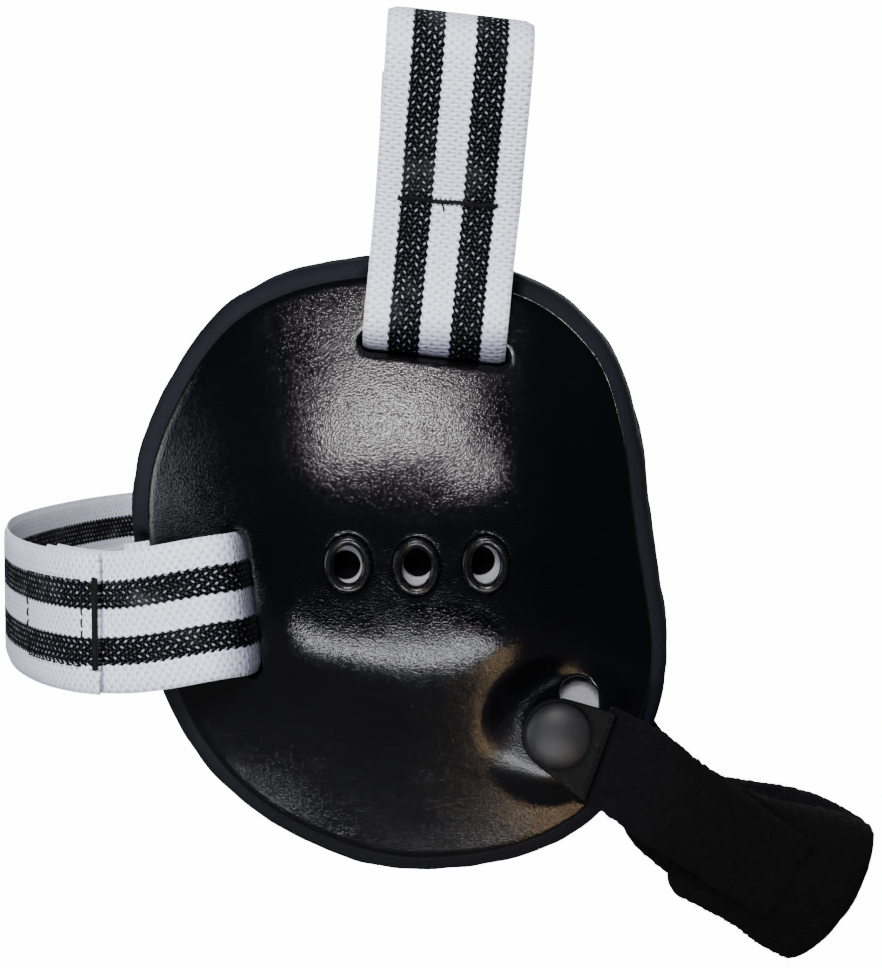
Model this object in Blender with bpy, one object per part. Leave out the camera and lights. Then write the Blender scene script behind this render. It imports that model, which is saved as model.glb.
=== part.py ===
"""Wrestling headgear: two moulded ear cups on an elastic crown strap, an elastic back strap
and a hook-and-loop chin strap that snaps to both cups.

The frame: +X points to the wearer's face, +Y to the wearer's left, +Z up. The origin is the middle of
the crown strap's underside, where the headgear rests on the top of the head.

Every shape is drawn in a cup's own coordinates (u, h, w), in millimetres: u is forward and w is up,
both from the middle of the ear cup, and h is outward from the pad's face that rests on the head.
"""

import math

import bmesh
import bpy
import numpy as np
from mathutils import Matrix, Vector

# ---------------------------------------------------------------- driving dimensions, in millimetres
MM = 0.001
HALF_GAP = 54.0  # from the middle of the head to a pad's face
CROWN_RISE = 95.8  # from the middle of the cup to the crown strap's underside
CROWN_FORWARD = 11.0  # the crown strap's middle is this far ahead of the cup's middle

WEBBING_WIDTH = 25.4
WEBBING_THICK = 1.5
LAYER_PITCH = 2.0  # from layer to layer where webbing is sewn double
CHIN_WIDTH = 18.0
CHIN_THICK = 1.4
GAP = 0.3  # between pieces that touch

PAD_THICK = 14.0
PAD_FLARE = 4.0  # how far the pad's wall stands out from the shell's edge
EAR_OPENING = (26.0, 33.0)  # half sizes along u and w
EAR_OPENING_MIDDLE = (0.0, 1.0)

SHELL_WALL = 2.4
SHELL_SEAT = PAD_THICK + GAP
SHELL_EDGE = 17.5  # h of the shell's top edge
SHOULDER = 32.4  # h of the mound's middle
MOUND_MIDDLE = (2.0, 1.0)
MOUND_HALF = (23.5, 18.0)
MOUND_SQUARENESS = 2.8
SHOULDER_BENDS = (0.14, 0.45)  # how gently the mound turns to the slope, below its middle and above it
SLOPE_HOLLOW = 0.35  # how much the lower slope flattens towards the edge

LINER_DROP = SHELL_WALL + 1.1  # from the shell's outer face to the liner's
LINER_THICK = 2.0
LINER_REACH = 0.86  # the liner's edge, as a share of the shell's outline

SNAP = (28.4, -30.4)  # the snap's axis, u and w
LAND = 23.2  # h of the flat land round the snap
LAND_RADIUS = (7.4, 15.0)  # flat inside the first, blended to the slope by the second
VALLEY = ((27.5, -9.0), (31.0, -30.0))  # the dip that leads down to the land
VALLEY_DEPTH = 1.0
VALLEY_WIDTH = 7.0

VENT_MIDDLES = ((-8.9, 0.7), (3.1, 0.3), (15.3, 0.7))
VENT_HALF = (3.0, 4.1)  # the eyelet's opening
EYELET_FLANGE = 1.2
LINER_HOLE_RADIUS = 2.3
LINER_HOLE_SHIFTS = ((0.7, 0.8), (-0.3, -0.5), (-0.9, 0.2))

CROWN_SLOT = {"middle": (6.2, 38.0), "half_length": 13.9, "half_width": 2.3, "turn": -6.6}
BACK_SLOT = {"middle": (-27.6, -6.8), "half_length": 13.9, "half_width": 2.3, "turn": 97.4}
CHIN_SLOT = {"middle": (33.9, -32.6), "half_length": 10.6, "half_width": 2.3, "turn": 92.0}
CHIN_SLOT_EYE = {"middle": (32.0, -23.6), "radius": 3.6}  # the slot's wide upper end

OUTLINE = (  # the pad's widest outline, from the back of the cup over the top
    (-49.7, 4.0), (-46.5, 25.0), (-31.7, 46.8), (-7.6, 55.2), (21.2, 52.4), (37.0, 41.5), (43.7, 26.0),
    (46.8, 6.0), (49.6, -15.0), (48.4, -27.5), (44.4, -37.0), (35.5, -49.8), (18.6, -57.4), (-4.1, -58.2),
    (-28.5, -47.2), (-44.0, -26.5),
)
RAYS = 44

# The webbing's middle line, (u, h, w), from the tail inside the loop to the middle of the head.
CROWN_TAIL = (
    (10.0, 31.6, 86.0), (9.5, 28.2, 76.0), (9.0, 24.3, 67.0), (8.7, 22.2, 63.4), (8.4, 18.0, 60.6),
    (8.0, 13.8, 58.0), (7.5, 12.6, 53.5), (6.9, 12.7, 46.0), (6.5, 14.2, 40.4),
)
CROWN_LEG = (
    (6.2, 18.8, 37.6), (6.2, 22.6, 38.3), (6.5, 24.1, 41.2), (6.9, 23.7, 46.5), (7.6, 24.0, 54.0),
    (8.6, 26.8, 64.0), (9.5, 31.0, 75.0), (10.3, 34.3, 84.5),
)
CROWN_BEND = ((10.8, 35.0, 91.4), (11.0, 30.2, 96.0))
CROWN_BRIDGE_START = (11.0, 19.0, CROWN_RISE + WEBBING_THICK / 2)

# Seen from above, (u, h), from the sewn end beside the cup round to the middle of the head.
BACK_STRAP = (
    (-53.6, 26.0), (-59.6, 21.6), (-67.0, 11.0), (-74.6, -8.0), (-80.0, -32.0),
)
BACK_STRAP_REAR = -82.0
BACK_LEVEL = -10.6  # w of the back strap's middle line
BACK_LOOP_BEHIND_SHELL = ((-50.6, 13.2), (-45.0, 12.6), (-38.0, 12.7), (-32.0, 14.6))
BACK_LOOP_FRONT = ((-27.5, 19.4), (-27.9, 25.8), (-30.2, 28.7), (-37.0, 29.0), (-45.0, 27.4))

# The chin strap's middle line, (u, h, w), from its end under the tab to the middle of the chin.
CHIN_LINE = (
    (34.4, 25.4, -34.0), (39.5, 25.4, -36.2), (43.6, 24.8, -38.7), (48.6, 20.6, -43.2), (55.9, 9.0, -49.6),
    (62.4, -2.0, -55.6), (70.8, -16.0, -63.4), (82.6, -34.0, -72.8),
)
CHIN_FRONT = (93.0, -80.6)  # u and w of the strap's line carried on to the middle of the chin
CHIN_DROOP = 14.0  # how far the left half, let out longer, hangs below the right
CHIN_STRAP_SHARE = 0.70  # how far along the half line the narrow strap reaches
HOOK_SHARES = (0.10, 0.27)
PAD_SHARE = 0.30  # where the wide chin pad starts under the narrow strap
CHIN_PAD_WIDTHS = (18.4, 33.0)
CHIN_PAD_THICK = (2.0, 4.0)
SNAP_CAP_RADIUS = 5.9

RIGHT = -1
LEFT = 1
SIDES = ((RIGHT, "right"), (LEFT, "left"))


# ---------------------------------------------------------------- the frame
def place(side, u, h, w):
    """A point of the cup on that side, in the row frame, in metres."""
    return Vector((
        (u - CROWN_FORWARD) * MM,
        side * (HALF_GAP + h) * MM,
        (w - CROWN_RISE) * MM,
    ))


# ---------------------------------------------------------------- curves
def catmull(points, samples, closed=False):
    """Points spread evenly in parameter along a smooth curve through the given ones."""
    knots = [np.array(p, float) for p in points]
    count = len(knots)
    spans = count if closed else count - 1

    def knot(i):
        if closed:
            return knots[i % count]
        if i < 0:
            return 2 * knots[0] - knots[1]
        if i >= count:
            return 2 * knots[-1] - knots[-2]
        return knots[i]

    found = []
    for k in range(samples):
        at = k * spans / samples if closed else k * spans / (samples - 1)
        i = min(int(at), spans - 1)
        t = at - i
        a, b, c, d = knot(i - 1), knot(i), knot(i + 1), knot(i + 2)
        found.append(0.5 * (
            2 * b + (c - a) * t + (2 * a - 5 * b + 4 * c - d) * t**2 + (3 * b - a - 3 * c + d) * t**3
        ))
    return found


def even(points, samples):
    """The same polyline with points at equal distances."""
    line = np.array(points, float)
    steps = np.linalg.norm(np.diff(line, axis=0), axis=1)
    along = np.concatenate([[0], np.cumsum(steps)])
    wanted = np.linspace(0, along[-1], samples)
    return [np.array([np.interp(t, along, line[:, k]) for k in range(line.shape[1])]) for t in wanted]


def shifted(points, distance):
    """A flat curve moved sideways, towards its left as it runs."""
    line = np.array(points, float)
    run = np.gradient(line, axis=0)
    run /= np.linalg.norm(run, axis=1)[:, None]
    return line + distance * np.stack([-run[:, 1], run[:, 0]], axis=1)


def part_of(points, start, end):
    """The stretch of a polyline between two shares of its point count."""
    last = len(points) - 1
    return points[round(start * last): round(end * last) + 1]


# ---------------------------------------------------------------- the cup's outline and outer surface
RIM = np.array(catmull(OUTLINE, 360, closed=True))
RIM_ANGLES = np.unwrap(np.arctan2(RIM[:, 1], RIM[:, 0]))
RIM_RADII = np.hypot(RIM[:, 0], RIM[:, 1])
RIM_ORDER = np.argsort(RIM_ANGLES)


def rim_radius(angle):
    return float(np.interp(
        angle, RIM_ANGLES[RIM_ORDER], RIM_RADII[RIM_ORDER], period=2 * math.pi
    ))


def shell_radius(angle):
    return rim_radius(angle) - PAD_FLARE


def smooth(t):
    t = min(max(t, 0.0), 1.0)
    return t * t * (3 - 2 * t)


def distance_to_segment(point, start, end):
    p, a, b = (np.array(v, float) for v in (point, start, end))
    along = min(max(float((p - a) @ (b - a)) / float((b - a) @ (b - a)), 0.0), 1.0)
    return float(np.linalg.norm(p - a - along * (b - a)))


def shell_height(u, w):
    """h of the shell's outer face: a squared mound that slopes to the edge, with a dip and a flat land for the snap."""
    power = MOUND_SQUARENESS
    q = (
        (abs(u - MOUND_MIDDLE[0]) / MOUND_HALF[0]) ** power
        + (abs(w - MOUND_MIDDLE[1]) / MOUND_HALF[1]) ** power
    ) ** (1 / power)
    out = min(math.hypot(u, w) / shell_radius(math.atan2(w, u)), 1.0)
    spread = q / max(out, 1e-6)
    if q < 1:
        spread = 2 + (spread - 2) * smooth(q)
    t = (q - 1) / (spread - 1)
    upward = smooth((w - MOUND_MIDDLE[1]) / 24 + 0.5)
    t *= 1 + SLOPE_HOLLOW * (1 - upward) * (1 - abs(t))
    bend = SHOULDER_BENDS[0] + (SHOULDER_BENDS[1] - SHOULDER_BENDS[0]) * upward
    fallen = (t + math.sqrt(t * t + bend**2) + 1 - math.sqrt(1 + bend**2)) / 2
    height = SHELL_EDGE + (SHOULDER - SHELL_EDGE) * (1 - fallen)
    dip = VALLEY_DEPTH * math.exp(-((distance_to_segment((u, w), *VALLEY) / VALLEY_WIDTH) ** 2))
    height -= dip * smooth((height - SHELL_EDGE) / 8.0)
    off = math.hypot(u - SNAP[0], w - SNAP[1])
    land = 1 - smooth((off - LAND_RADIUS[0]) / (LAND_RADIUS[1] - LAND_RADIUS[0]))
    land *= smooth((1 - out) / 0.10)
    return height + land * (LAND - height)


# ---------------------------------------------------------------- meshes
def finish(name, bm, colour, roughness, metallic=0.0, angle=35.0):
    """An object of that name from the bmesh, with its own material."""
    bmesh.ops.recalc_face_normals(bm, faces=bm.faces)
    mesh = bpy.data.meshes.new(name)
    bm.to_mesh(mesh)
    bm.free()
    mesh.shade_smooth()
    mesh.set_sharp_from_angle(angle=math.radians(angle))
    obj = bpy.data.objects.new(name, mesh)
    bpy.context.scene.collection.objects.link(obj)
    material = bpy.data.materials.new(name)
    material.use_nodes = True
    shader = material.node_tree.nodes["Principled BSDF"]
    shader.inputs["Base Color"].default_value = (*colour, 1.0)
    shader.inputs["Roughness"].default_value = roughness
    shader.inputs["Metallic"].default_value = metallic
    mesh.materials.append(material)
    return obj


def skin(bm, rings, ring_closed=True, ends="loop"):
    """Faces between each ring and the next. ends is loop, where the last ring joins the first; caps, one flat
    face at each end; or fans, a point at each end."""
    rows = [[bm.verts.new(p) for p in ring] for ring in rings]
    count = len(rows[0])
    pairs = list(zip(rows, rows[1:], strict=False))
    if ends == "loop":
        pairs.append((rows[-1], rows[0]))
    for first, second in pairs:
        for k in range(count if ring_closed else count - 1):
            j = (k + 1) % count
            bm.faces.new((first[k], first[j], second[j], second[k]))
    if ends == "caps":
        bm.faces.new(rows[0])
        bm.faces.new(rows[-1])
    if ends == "fans":
        for row in (rows[0], rows[-1]):
            middle = bm.verts.new(sum((v.co for v in row), Vector()) / count)
            for k in range(count):
                bm.faces.new((middle, row[k], row[(k + 1) % count]))


def angles(count):
    return [2 * math.pi * k / count for k in range(count)]


def cup_ring(side, share, height, radius=shell_radius, inset=0.0):
    """A ring round the cup at a share of an outline. height is a number, or a function of u and w."""
    ring = []
    for a in angles(RAYS):
        r = share * (radius(a) - inset)
        u, w = r * math.cos(a), r * math.sin(a)
        h = height(u, w) if callable(height) else height
        ring.append(place(side, u, h, w))
    return ring


def oval_ring(side, middle, half, height, count=20):
    return [
        place(side, middle[0] + half[0] * math.cos(a), height, middle[1] + half[1] * math.sin(a))
        for a in angles(count)
    ]


def ribbon(bm, side, line, across, widths, thick, rounding=0.35):
    """A flat band along a line of (u, h, w). across is its width's direction at the line's two ends, as (u, h, w)."""
    rings = []
    last = len(line) - 1
    for k, middle in enumerate(line):
        share = k / last
        run = Vector(line[min(k + 1, last)] - line[max(k - 1, 0)]).normalized()
        wide = Vector(across[0]).lerp(Vector(across[1]), smooth(share))
        wide = (wide - wide.dot(run) * run).normalized()
        out = run.cross(wide)
        half = (widths[0] + (widths[1] - widths[0]) * smooth(share)) / 2
        deep = (thick[0] + (thick[1] - thick[0]) * smooth(share)) / 2 if isinstance(thick, tuple) else thick / 2
        edge = rounding * deep
        corners = (
            (half - edge, deep), (half, deep - edge), (half, edge - deep), (half - edge, -deep),
            (edge - half, -deep), (-half, edge - deep), (-half, deep - edge), (edge - half, deep),
        )
        rings.append([place(side, *(Vector(middle) + wide * a + out * b)) for a, b in corners])
    skin(bm, rings, ends="caps")


def mirrored_line(line):
    """A half line from one cup to the middle of the head, carried on to the other cup."""
    far = [np.array((p[0], -2 * HALF_GAP - p[1], p[2])) for p in reversed(line[:-1])]
    return list(line) + far


def through_prism(bm, side, outline, low, high):
    """A cutter with that outline in (u, w), from one h to another."""
    skin(bm, [[place(side, u, h, w) for u, w in outline] for h in (low, high)], ends="caps")


def stadium(slot, extra=0.0, corner_steps=6):
    """The outline of a slot with round ends."""
    turn = math.radians(slot["turn"])
    half, radius = slot["half_length"] - slot["half_width"], slot["half_width"] + extra
    found = []
    for end, start in ((1, -math.pi / 2), (-1, math.pi / 2)):
        for k in range(corner_steps + 1):
            a = start + math.pi * k / corner_steps
            x, y = end * half + radius * math.cos(a), radius * math.sin(a)
            found.append((
                slot["middle"][0] + x * math.cos(turn) - y * math.sin(turn),
                slot["middle"][1] + x * math.sin(turn) + y * math.cos(turn),
            ))
    return found


def channel(slot, outward, length):
    """The outline of a straight channel as wide as a slot, from the slot out past the rim."""
    turn = math.radians(slot["turn"])
    along = np.array((math.cos(turn), math.sin(turn))) * slot["half_length"]
    away = np.array(outward, float)
    start = np.array(slot["middle"]) - away * (slot["half_width"] + 0.6)
    end = start + away * length
    return [tuple(start - along), tuple(start + along), tuple(end + along), tuple(end - along)]


def circle(middle, radius, count=20):
    return [(middle[0] + radius * math.cos(a), middle[1] + radius * math.sin(a)) for a in angles(count)]


def oval(middle, half, extra=0.0, count=20):
    return [
        (middle[0] + (half[0] + extra) * math.cos(a), middle[1] + (half[1] + extra) * math.sin(a))
        for a in angles(count)
    ]


def cut(obj, side, prisms):
    """Cuts prisms, each (outline, low h, high h), out of an object."""
    for index, (outline, low, high) in enumerate(prisms):
        bm = bmesh.new()
        through_prism(bm, side, outline, low, high)
        cutter = finish(f"{obj.name}_cutter_{index}", bm, (1.0, 0.0, 0.0), 0.5)
        cutter.hide_render = True
        cutter.display_type = "WIRE"
        modifier = obj.modifiers.new(f"cut_{index}", "BOOLEAN")
        modifier.operation = "DIFFERENCE"
        modifier.object = cutter
    return obj


# ---------------------------------------------------------------- colours
BLACK_SHELL = (0.012, 0.012, 0.015)
FOAM = (0.045, 0.047, 0.058)
PALE_FOAM = (0.42, 0.42, 0.46)
WEBBING = (0.62, 0.62, 0.68)
NAP = (0.010, 0.009, 0.014)
ENAMEL = (0.02, 0.02, 0.025)
STEEL = (0.35, 0.35, 0.37)


# ---------------------------------------------------------------- ear cups
def shell(side, name):
    """The moulded outer shell, with its strap slots, vent holes and the snap's rivet hole."""
    shares = (0.10, 0.22, 0.33, 0.43, 0.52, 0.61, 0.70, 0.78, 0.86, 0.93, 0.98)
    inner_inset = SHELL_WALL

    def inside(u, w):
        return max(shell_height(u, w) - SHELL_WALL, SHELL_SEAT + 0.3)

    outer = [cup_ring(side, share, shell_height) for share in shares]
    edge = [cup_ring(side, 1.0, SHELL_EDGE - 0.9), cup_ring(side, 1.0, SHELL_SEAT)]
    inner = [cup_ring(side, 1.0, SHELL_SEAT, inset=inner_inset)]
    inner += [cup_ring(side, share, inside, inset=inner_inset) for share in reversed(shares[:-1])]
    bm = bmesh.new()
    skin(bm, outer + edge + inner, ends="fans")
    obj = finish(f"{name}_shell", bm, BLACK_SHELL, 0.28)
    low, high = SHELL_SEAT - 2, SHOULDER + 6
    prisms = [(circle(SNAP, 1.3, 14), low, high)]
    prisms += [(stadium(slot), low, high) for slot in (CROWN_SLOT, BACK_SLOT, CHIN_SLOT)]
    prisms.append((circle(CHIN_SLOT_EYE["middle"], CHIN_SLOT_EYE["radius"]), low, high))
    prisms += [(oval(middle, VENT_HALF, extra=0.75), low, high) for middle in VENT_MIDDLES]
    return cut(obj, side, prisms)


def liner(side, name):
    """The pale foam layer behind the shell, with punched vent holes."""
    shares = (0.12, 0.26, 0.40, 0.54, 0.68, 0.80, 0.92, 1.0)

    def at(drop):
        return lambda u, w: max(shell_height(u, w) - drop, SHELL_SEAT + 0.4)

    scale = LINER_REACH
    outer = [cup_ring(side, scale * share, at(LINER_DROP)) for share in shares]
    inner = [cup_ring(side, scale * share - 0.03, at(LINER_DROP + LINER_THICK)) for share in reversed(shares)]
    bm = bmesh.new()
    skin(bm, outer + inner, ends="fans")
    obj = finish(f"{name}_liner", bm, PALE_FOAM, 0.9)
    low, high = SHELL_SEAT - 2, SHOULDER + 6
    prisms = [
        (circle((m[0] + s[0], m[1] + s[1]), LINER_HOLE_RADIUS, 16), low, high)
        for m, s in zip(VENT_MIDDLES, LINER_HOLE_SHIFTS, strict=True)
    ]
    prisms.append((channel(CROWN_SLOT, (0.11, 0.99), 30), low, high))
    prisms.append((channel(BACK_SLOT, (-0.99, -0.1), 34), low, high))
    prisms.append((circle(SNAP, 4.2, 16), low, high))
    return cut(obj, side, prisms)


def ear_pad(side, name):
    """The foam ring that rests on the head, with channels for the webbing behind the shell."""
    def outer(inset, height):
        return cup_ring(side, 1.0, height, radius=rim_radius, inset=inset)

    def hole(extra, height):
        return [
            place(
                side,
                EAR_OPENING_MIDDLE[0] + (EAR_OPENING[0] + extra) * math.cos(a),
                height,
                EAR_OPENING_MIDDLE[1] + (EAR_OPENING[1] + extra) * math.sin(a),
            )
            for a in angles(RAYS)
        ]

    rings = [
        outer(5.0, 0.0), outer(1.6, 1.4), outer(0.2, 4.6), outer(0.6, 8.5), outer(PAD_FLARE - 0.4, PAD_THICK),
        hole(2.0, PAD_THICK), hole(0.0, PAD_THICK - 2.0), hole(0.4, 3.0), hole(3.6, 0.0),
    ]
    bm = bmesh.new()
    skin(bm, rings)
    obj = finish(f"{name}_ear_pad", bm, FOAM, 0.75)
    low = PAD_THICK - 3.2
    prisms = [
        (channel(CROWN_SLOT, (0.11, 0.99), 34), low, PAD_THICK + 3),
        (channel(BACK_SLOT, (-0.99, -0.1), 40), low, PAD_THICK + 3),
    ]
    return cut(obj, side, prisms)


def vent_eyelet(side, name, index, middle):
    """An oval eyelet: a rolled flange on the shell, a barrel through it and a flared end behind it."""
    seat = max(
        shell_height(middle[0] + du, middle[1] + dw)
        for du in (-4.9, 0.0, 4.9) for dw in (-6.0, 0.0, 6.0)
    ) + GAP
    back = seat - SHELL_WALL - 1.1
    profile = (  # (how far outside the opening, h)
        (0.0, back), (0.0, seat + 0.35), (0.35, seat + 0.75), (0.85, seat + 0.8),
        (EYELET_FLANGE, seat + 0.45), (EYELET_FLANGE, seat), (0.45, seat - 0.02), (0.45, back + 0.2),
        (0.3, back),
    )
    rings = [
        oval_ring(side, middle, (VENT_HALF[0] + off, VENT_HALF[1] + off), height)
        for off, height in profile
    ]
    bm = bmesh.new()
    skin(bm, rings)
    return finish(f"{name}_vent_eyelet_{index}", bm, ENAMEL, 0.2)


def turned(side, name, middle, profile, colour, roughness, metallic, count=24):
    """A solid of revolution about the outward axis. profile is (radius, h) from one end to the other."""
    rings = [[place(side, middle[0] + r * math.cos(a), h, middle[1] + r * math.sin(a)) for a in angles(count)]
             for r, h in profile]
    bm = bmesh.new()
    skin(bm, rings, ends="fans")
    return finish(name, bm, colour, roughness, metallic)


SNAP_BASE = LAND + GAP
SNAP_TOP = SNAP_BASE + 3.0  # h of the tab's underside


def snap_fixed(side, name):
    """The stud on the shell and the rivet that holds it from behind."""
    back = LAND - SHELL_WALL - GAP
    turned(side, f"{name}_snap_stud", SNAP, (
        (3.4, SNAP_BASE), (3.4, SNAP_BASE + 0.4), (1.7, SNAP_BASE + 0.7), (1.6, SNAP_BASE + 1.3),
        (1.9, SNAP_BASE + 1.7), (1.5, SNAP_BASE + 2.1),
    ), STEEL, 0.3, 1.0)
    turned(side, f"{name}_snap_rivet", SNAP, (
        (3.2, back - 0.6), (3.2, back), (1.0, back + 0.1), (1.0, LAND),
    ), STEEL, 0.3, 1.0)


def snap_moving(side, name):
    """The socket under the tab, and the domed cap over it, joined by the cap's hollow post."""
    seat, top = SNAP_BASE + 0.7, SNAP_TOP - 0.1
    socket_profile = (
        (2.2, seat), (4.4, seat), (4.8, seat + 0.4), (4.8, top - 0.3), (4.5, top), (1.4, top),
        (1.4, top - 0.2), (2.2, top - 0.4),
    )
    rings = [[place(side, SNAP[0] + r * math.cos(a), h, SNAP[1] + r * math.sin(a)) for a in angles(24)]
             for r, h in socket_profile]
    bm = bmesh.new()
    skin(bm, rings)
    finish(f"{name}_snap_socket", bm, STEEL, 0.3, 1.0)
    base = SNAP_TOP + 1.2 + GAP
    radius, dome = SNAP_CAP_RADIUS, 2.6
    profile = [(0.9, SNAP_TOP), (0.9, base), (radius - 0.5, base), (radius, base + 0.4)]
    profile += [
        (radius * math.cos(a), base + 0.5 + dome * math.sin(a))
        for a in (math.radians(d) for d in (0, 16, 32, 48, 64, 80))
    ]
    turned(side, f"{name}_snap_cap", SNAP, profile, ENAMEL, 0.35, 0.0)


# ---------------------------------------------------------------- straps
def crown_strap():
    """One length of webbing over the head. Each end goes through a slot, back behind the shell's bar, and is
    sewn to itself."""
    leg = catmull(CROWN_TAIL + CROWN_LEG + CROWN_BEND + (CROWN_BRIDGE_START,), 96)
    bridge = [np.array((CROWN_FORWARD, h, CROWN_BRIDGE_START[2])) for h in (6.0, -12.0, -36.0, -HALF_GAP)]
    half = even(leg, 62) + bridge
    turn = math.radians(CROWN_SLOT["turn"])
    tilted = (math.cos(turn), 0.0, math.sin(turn))
    line = mirrored_line(half)
    bm = bmesh.new()
    rings = []
    last = len(line) - 1
    for k, middle in enumerate(line):
        run = Vector(line[min(k + 1, last)] - line[max(k - 1, 0)]).normalized()
        nearness = smooth((32.0 - middle[1]) / 60.0) if middle[2] > 90.0 else 0.0
        wide = Vector(tilted).lerp(Vector((1.0, 0.0, 0.0)), nearness)
        wide = (wide - wide.dot(run) * run).normalized()
        out = run.cross(wide)
        half_wide, deep = WEBBING_WIDTH / 2, WEBBING_THICK / 2
        rings.append([
            place(RIGHT, *(Vector(middle) + wide * a * half_wide + out * b * deep))
            for a, b in ((1, 1), (1, -1), (-1, -1), (-1, 1))
        ])
    skin(bm, rings, ends="caps")
    return finish("crown_strap", bm, WEBBING, 0.8)


def flat_back_line():
    """The back strap's half line, (u, h), evenly spaced."""
    points = BACK_STRAP + ((BACK_STRAP_REAR, -HALF_GAP),)
    mirrored = points + tuple((u, -2 * HALF_GAP - h) for u, h in reversed(BACK_STRAP))
    whole = even(catmull(mirrored, 160), 61)
    return whole


def back_strap():
    """The webbing round the back of the head, sewn over the end of each cup's loop."""
    line = [np.array((u, h, BACK_LEVEL)) for u, h in flat_back_line()]
    bm = bmesh.new()
    upright = (0.0, 0.0, 1.0)
    ribbon(bm, RIGHT, line, (upright, upright), (WEBBING_WIDTH, WEBBING_WIDTH), WEBBING_THICK)
    return finish("back_strap", bm, WEBBING, 0.8)


def back_loop(side, name):
    """A short length of webbing through the cup's back slot, with both ends sewn inside the back strap."""
    sewn = flat_back_line()[:10]
    first = [tuple(p) for p in shifted(sewn, LAYER_PITCH)]
    second = [tuple(p) for p in shifted(sewn, 2 * LAYER_PITCH)]
    front = list(reversed(BACK_LOOP_FRONT))
    behind = list(reversed(BACK_LOOP_BEHIND_SHELL))
    flat = list(reversed(first[1::3])) + front + behind + second[1::3]
    line = even(catmull(flat, 150), 56)
    solid_line = []
    for u, h in line:
        drop = smooth((u + 54.0) / 28.0) * (BACK_SLOT["middle"][1] - BACK_LEVEL)
        solid_line.append(np.array((u, h, BACK_LEVEL + drop)))
    tilt = math.radians(BACK_SLOT["turn"])
    bm = bmesh.new()
    rings = []
    last = len(solid_line) - 1
    for k, middle in enumerate(solid_line):
        run = Vector(solid_line[min(k + 1, last)] - solid_line[max(k - 1, 0)]).normalized()
        nearness = smooth((middle[0] + 54.0) / 28.0)
        wide = Vector((0.0, 0.0, 1.0)).lerp(Vector((math.cos(tilt), 0.0, math.sin(tilt))), nearness)
        wide = (wide - wide.dot(run) * run).normalized()
        out = run.cross(wide)
        rings.append([
            place(side, *(Vector(middle) + wide * a * WEBBING_WIDTH / 2 + out * b * WEBBING_THICK / 2))
            for a, b in ((1, 1), (1, -1), (-1, -1), (-1, 1))
        ])
    skin(bm, rings, ends="caps")
    return finish(f"{name}_back_loop", bm, WEBBING, 0.8)


def chin_half_line(side):
    """The narrow strap's middle line from its end under the tab to the middle of the chin, evenly spaced."""
    front = (CHIN_FRONT[0], -HALF_GAP, CHIN_FRONT[1])
    far = tuple((u, -2 * HALF_GAP - h, w) for u, h, w in reversed(CHIN_LINE))
    half = even(catmull(CHIN_LINE + (front,) + far, 240), 121)[:61]
    if side == RIGHT:
        return half
    drop = [CHIN_DROOP * math.sin(math.pi * (k / 60) ** 0.7) ** 2 for k in range(61)]
    return [middle - np.array((0.0, 0.0, d)) for middle, d in zip(half, drop, strict=True)]


CHIN_ACROSS = ((0.33, 0.0, 0.94), (0.52, 0.0, 0.86))


def chin_across(share):
    """The chin strap's width direction at a share of its half line."""
    wide = Vector(CHIN_ACROSS[0]).lerp(Vector(CHIN_ACROSS[1]), smooth(share))
    return tuple(wide.normalized())


def inward(line, distance):
    """The line moved towards the head, square to the strap."""
    moved = []
    last = len(line) - 1
    for k, middle in enumerate(line):
        run = Vector(line[min(k + 1, last)] - line[max(k - 1, 0)]).normalized()
        wide = Vector(chin_across(k / last))
        inner = run.cross(wide).normalized()
        if inner.y > 0:
            inner = -inner
        moved.append(middle + np.array(inner) * distance)
    return moved


def chin_strap(side, name):
    """The narrow loop-faced strap, from under the tab to the side of the chin."""
    line = part_of(chin_half_line(side), 0.0, CHIN_STRAP_SHARE)
    bm = bmesh.new()
    ribbon(bm, side, line, (chin_across(0), chin_across(CHIN_STRAP_SHARE)), (CHIN_WIDTH, CHIN_WIDTH), CHIN_THICK)
    return finish(f"{name}_chin_strap", bm, NAP, 0.95)


def hook_strip(side, name):
    """The hook tape sewn under the narrow strap."""
    line = inward(chin_half_line(side), 1.95)
    line = part_of(line, *HOOK_SHARES)
    bm = bmesh.new()
    ribbon(bm, side, line, (chin_across(HOOK_SHARES[0]), chin_across(HOOK_SHARES[1])), (17.0, 17.0), 1.2)
    return finish(f"{name}_hook_strip", bm, NAP, 0.95)


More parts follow.
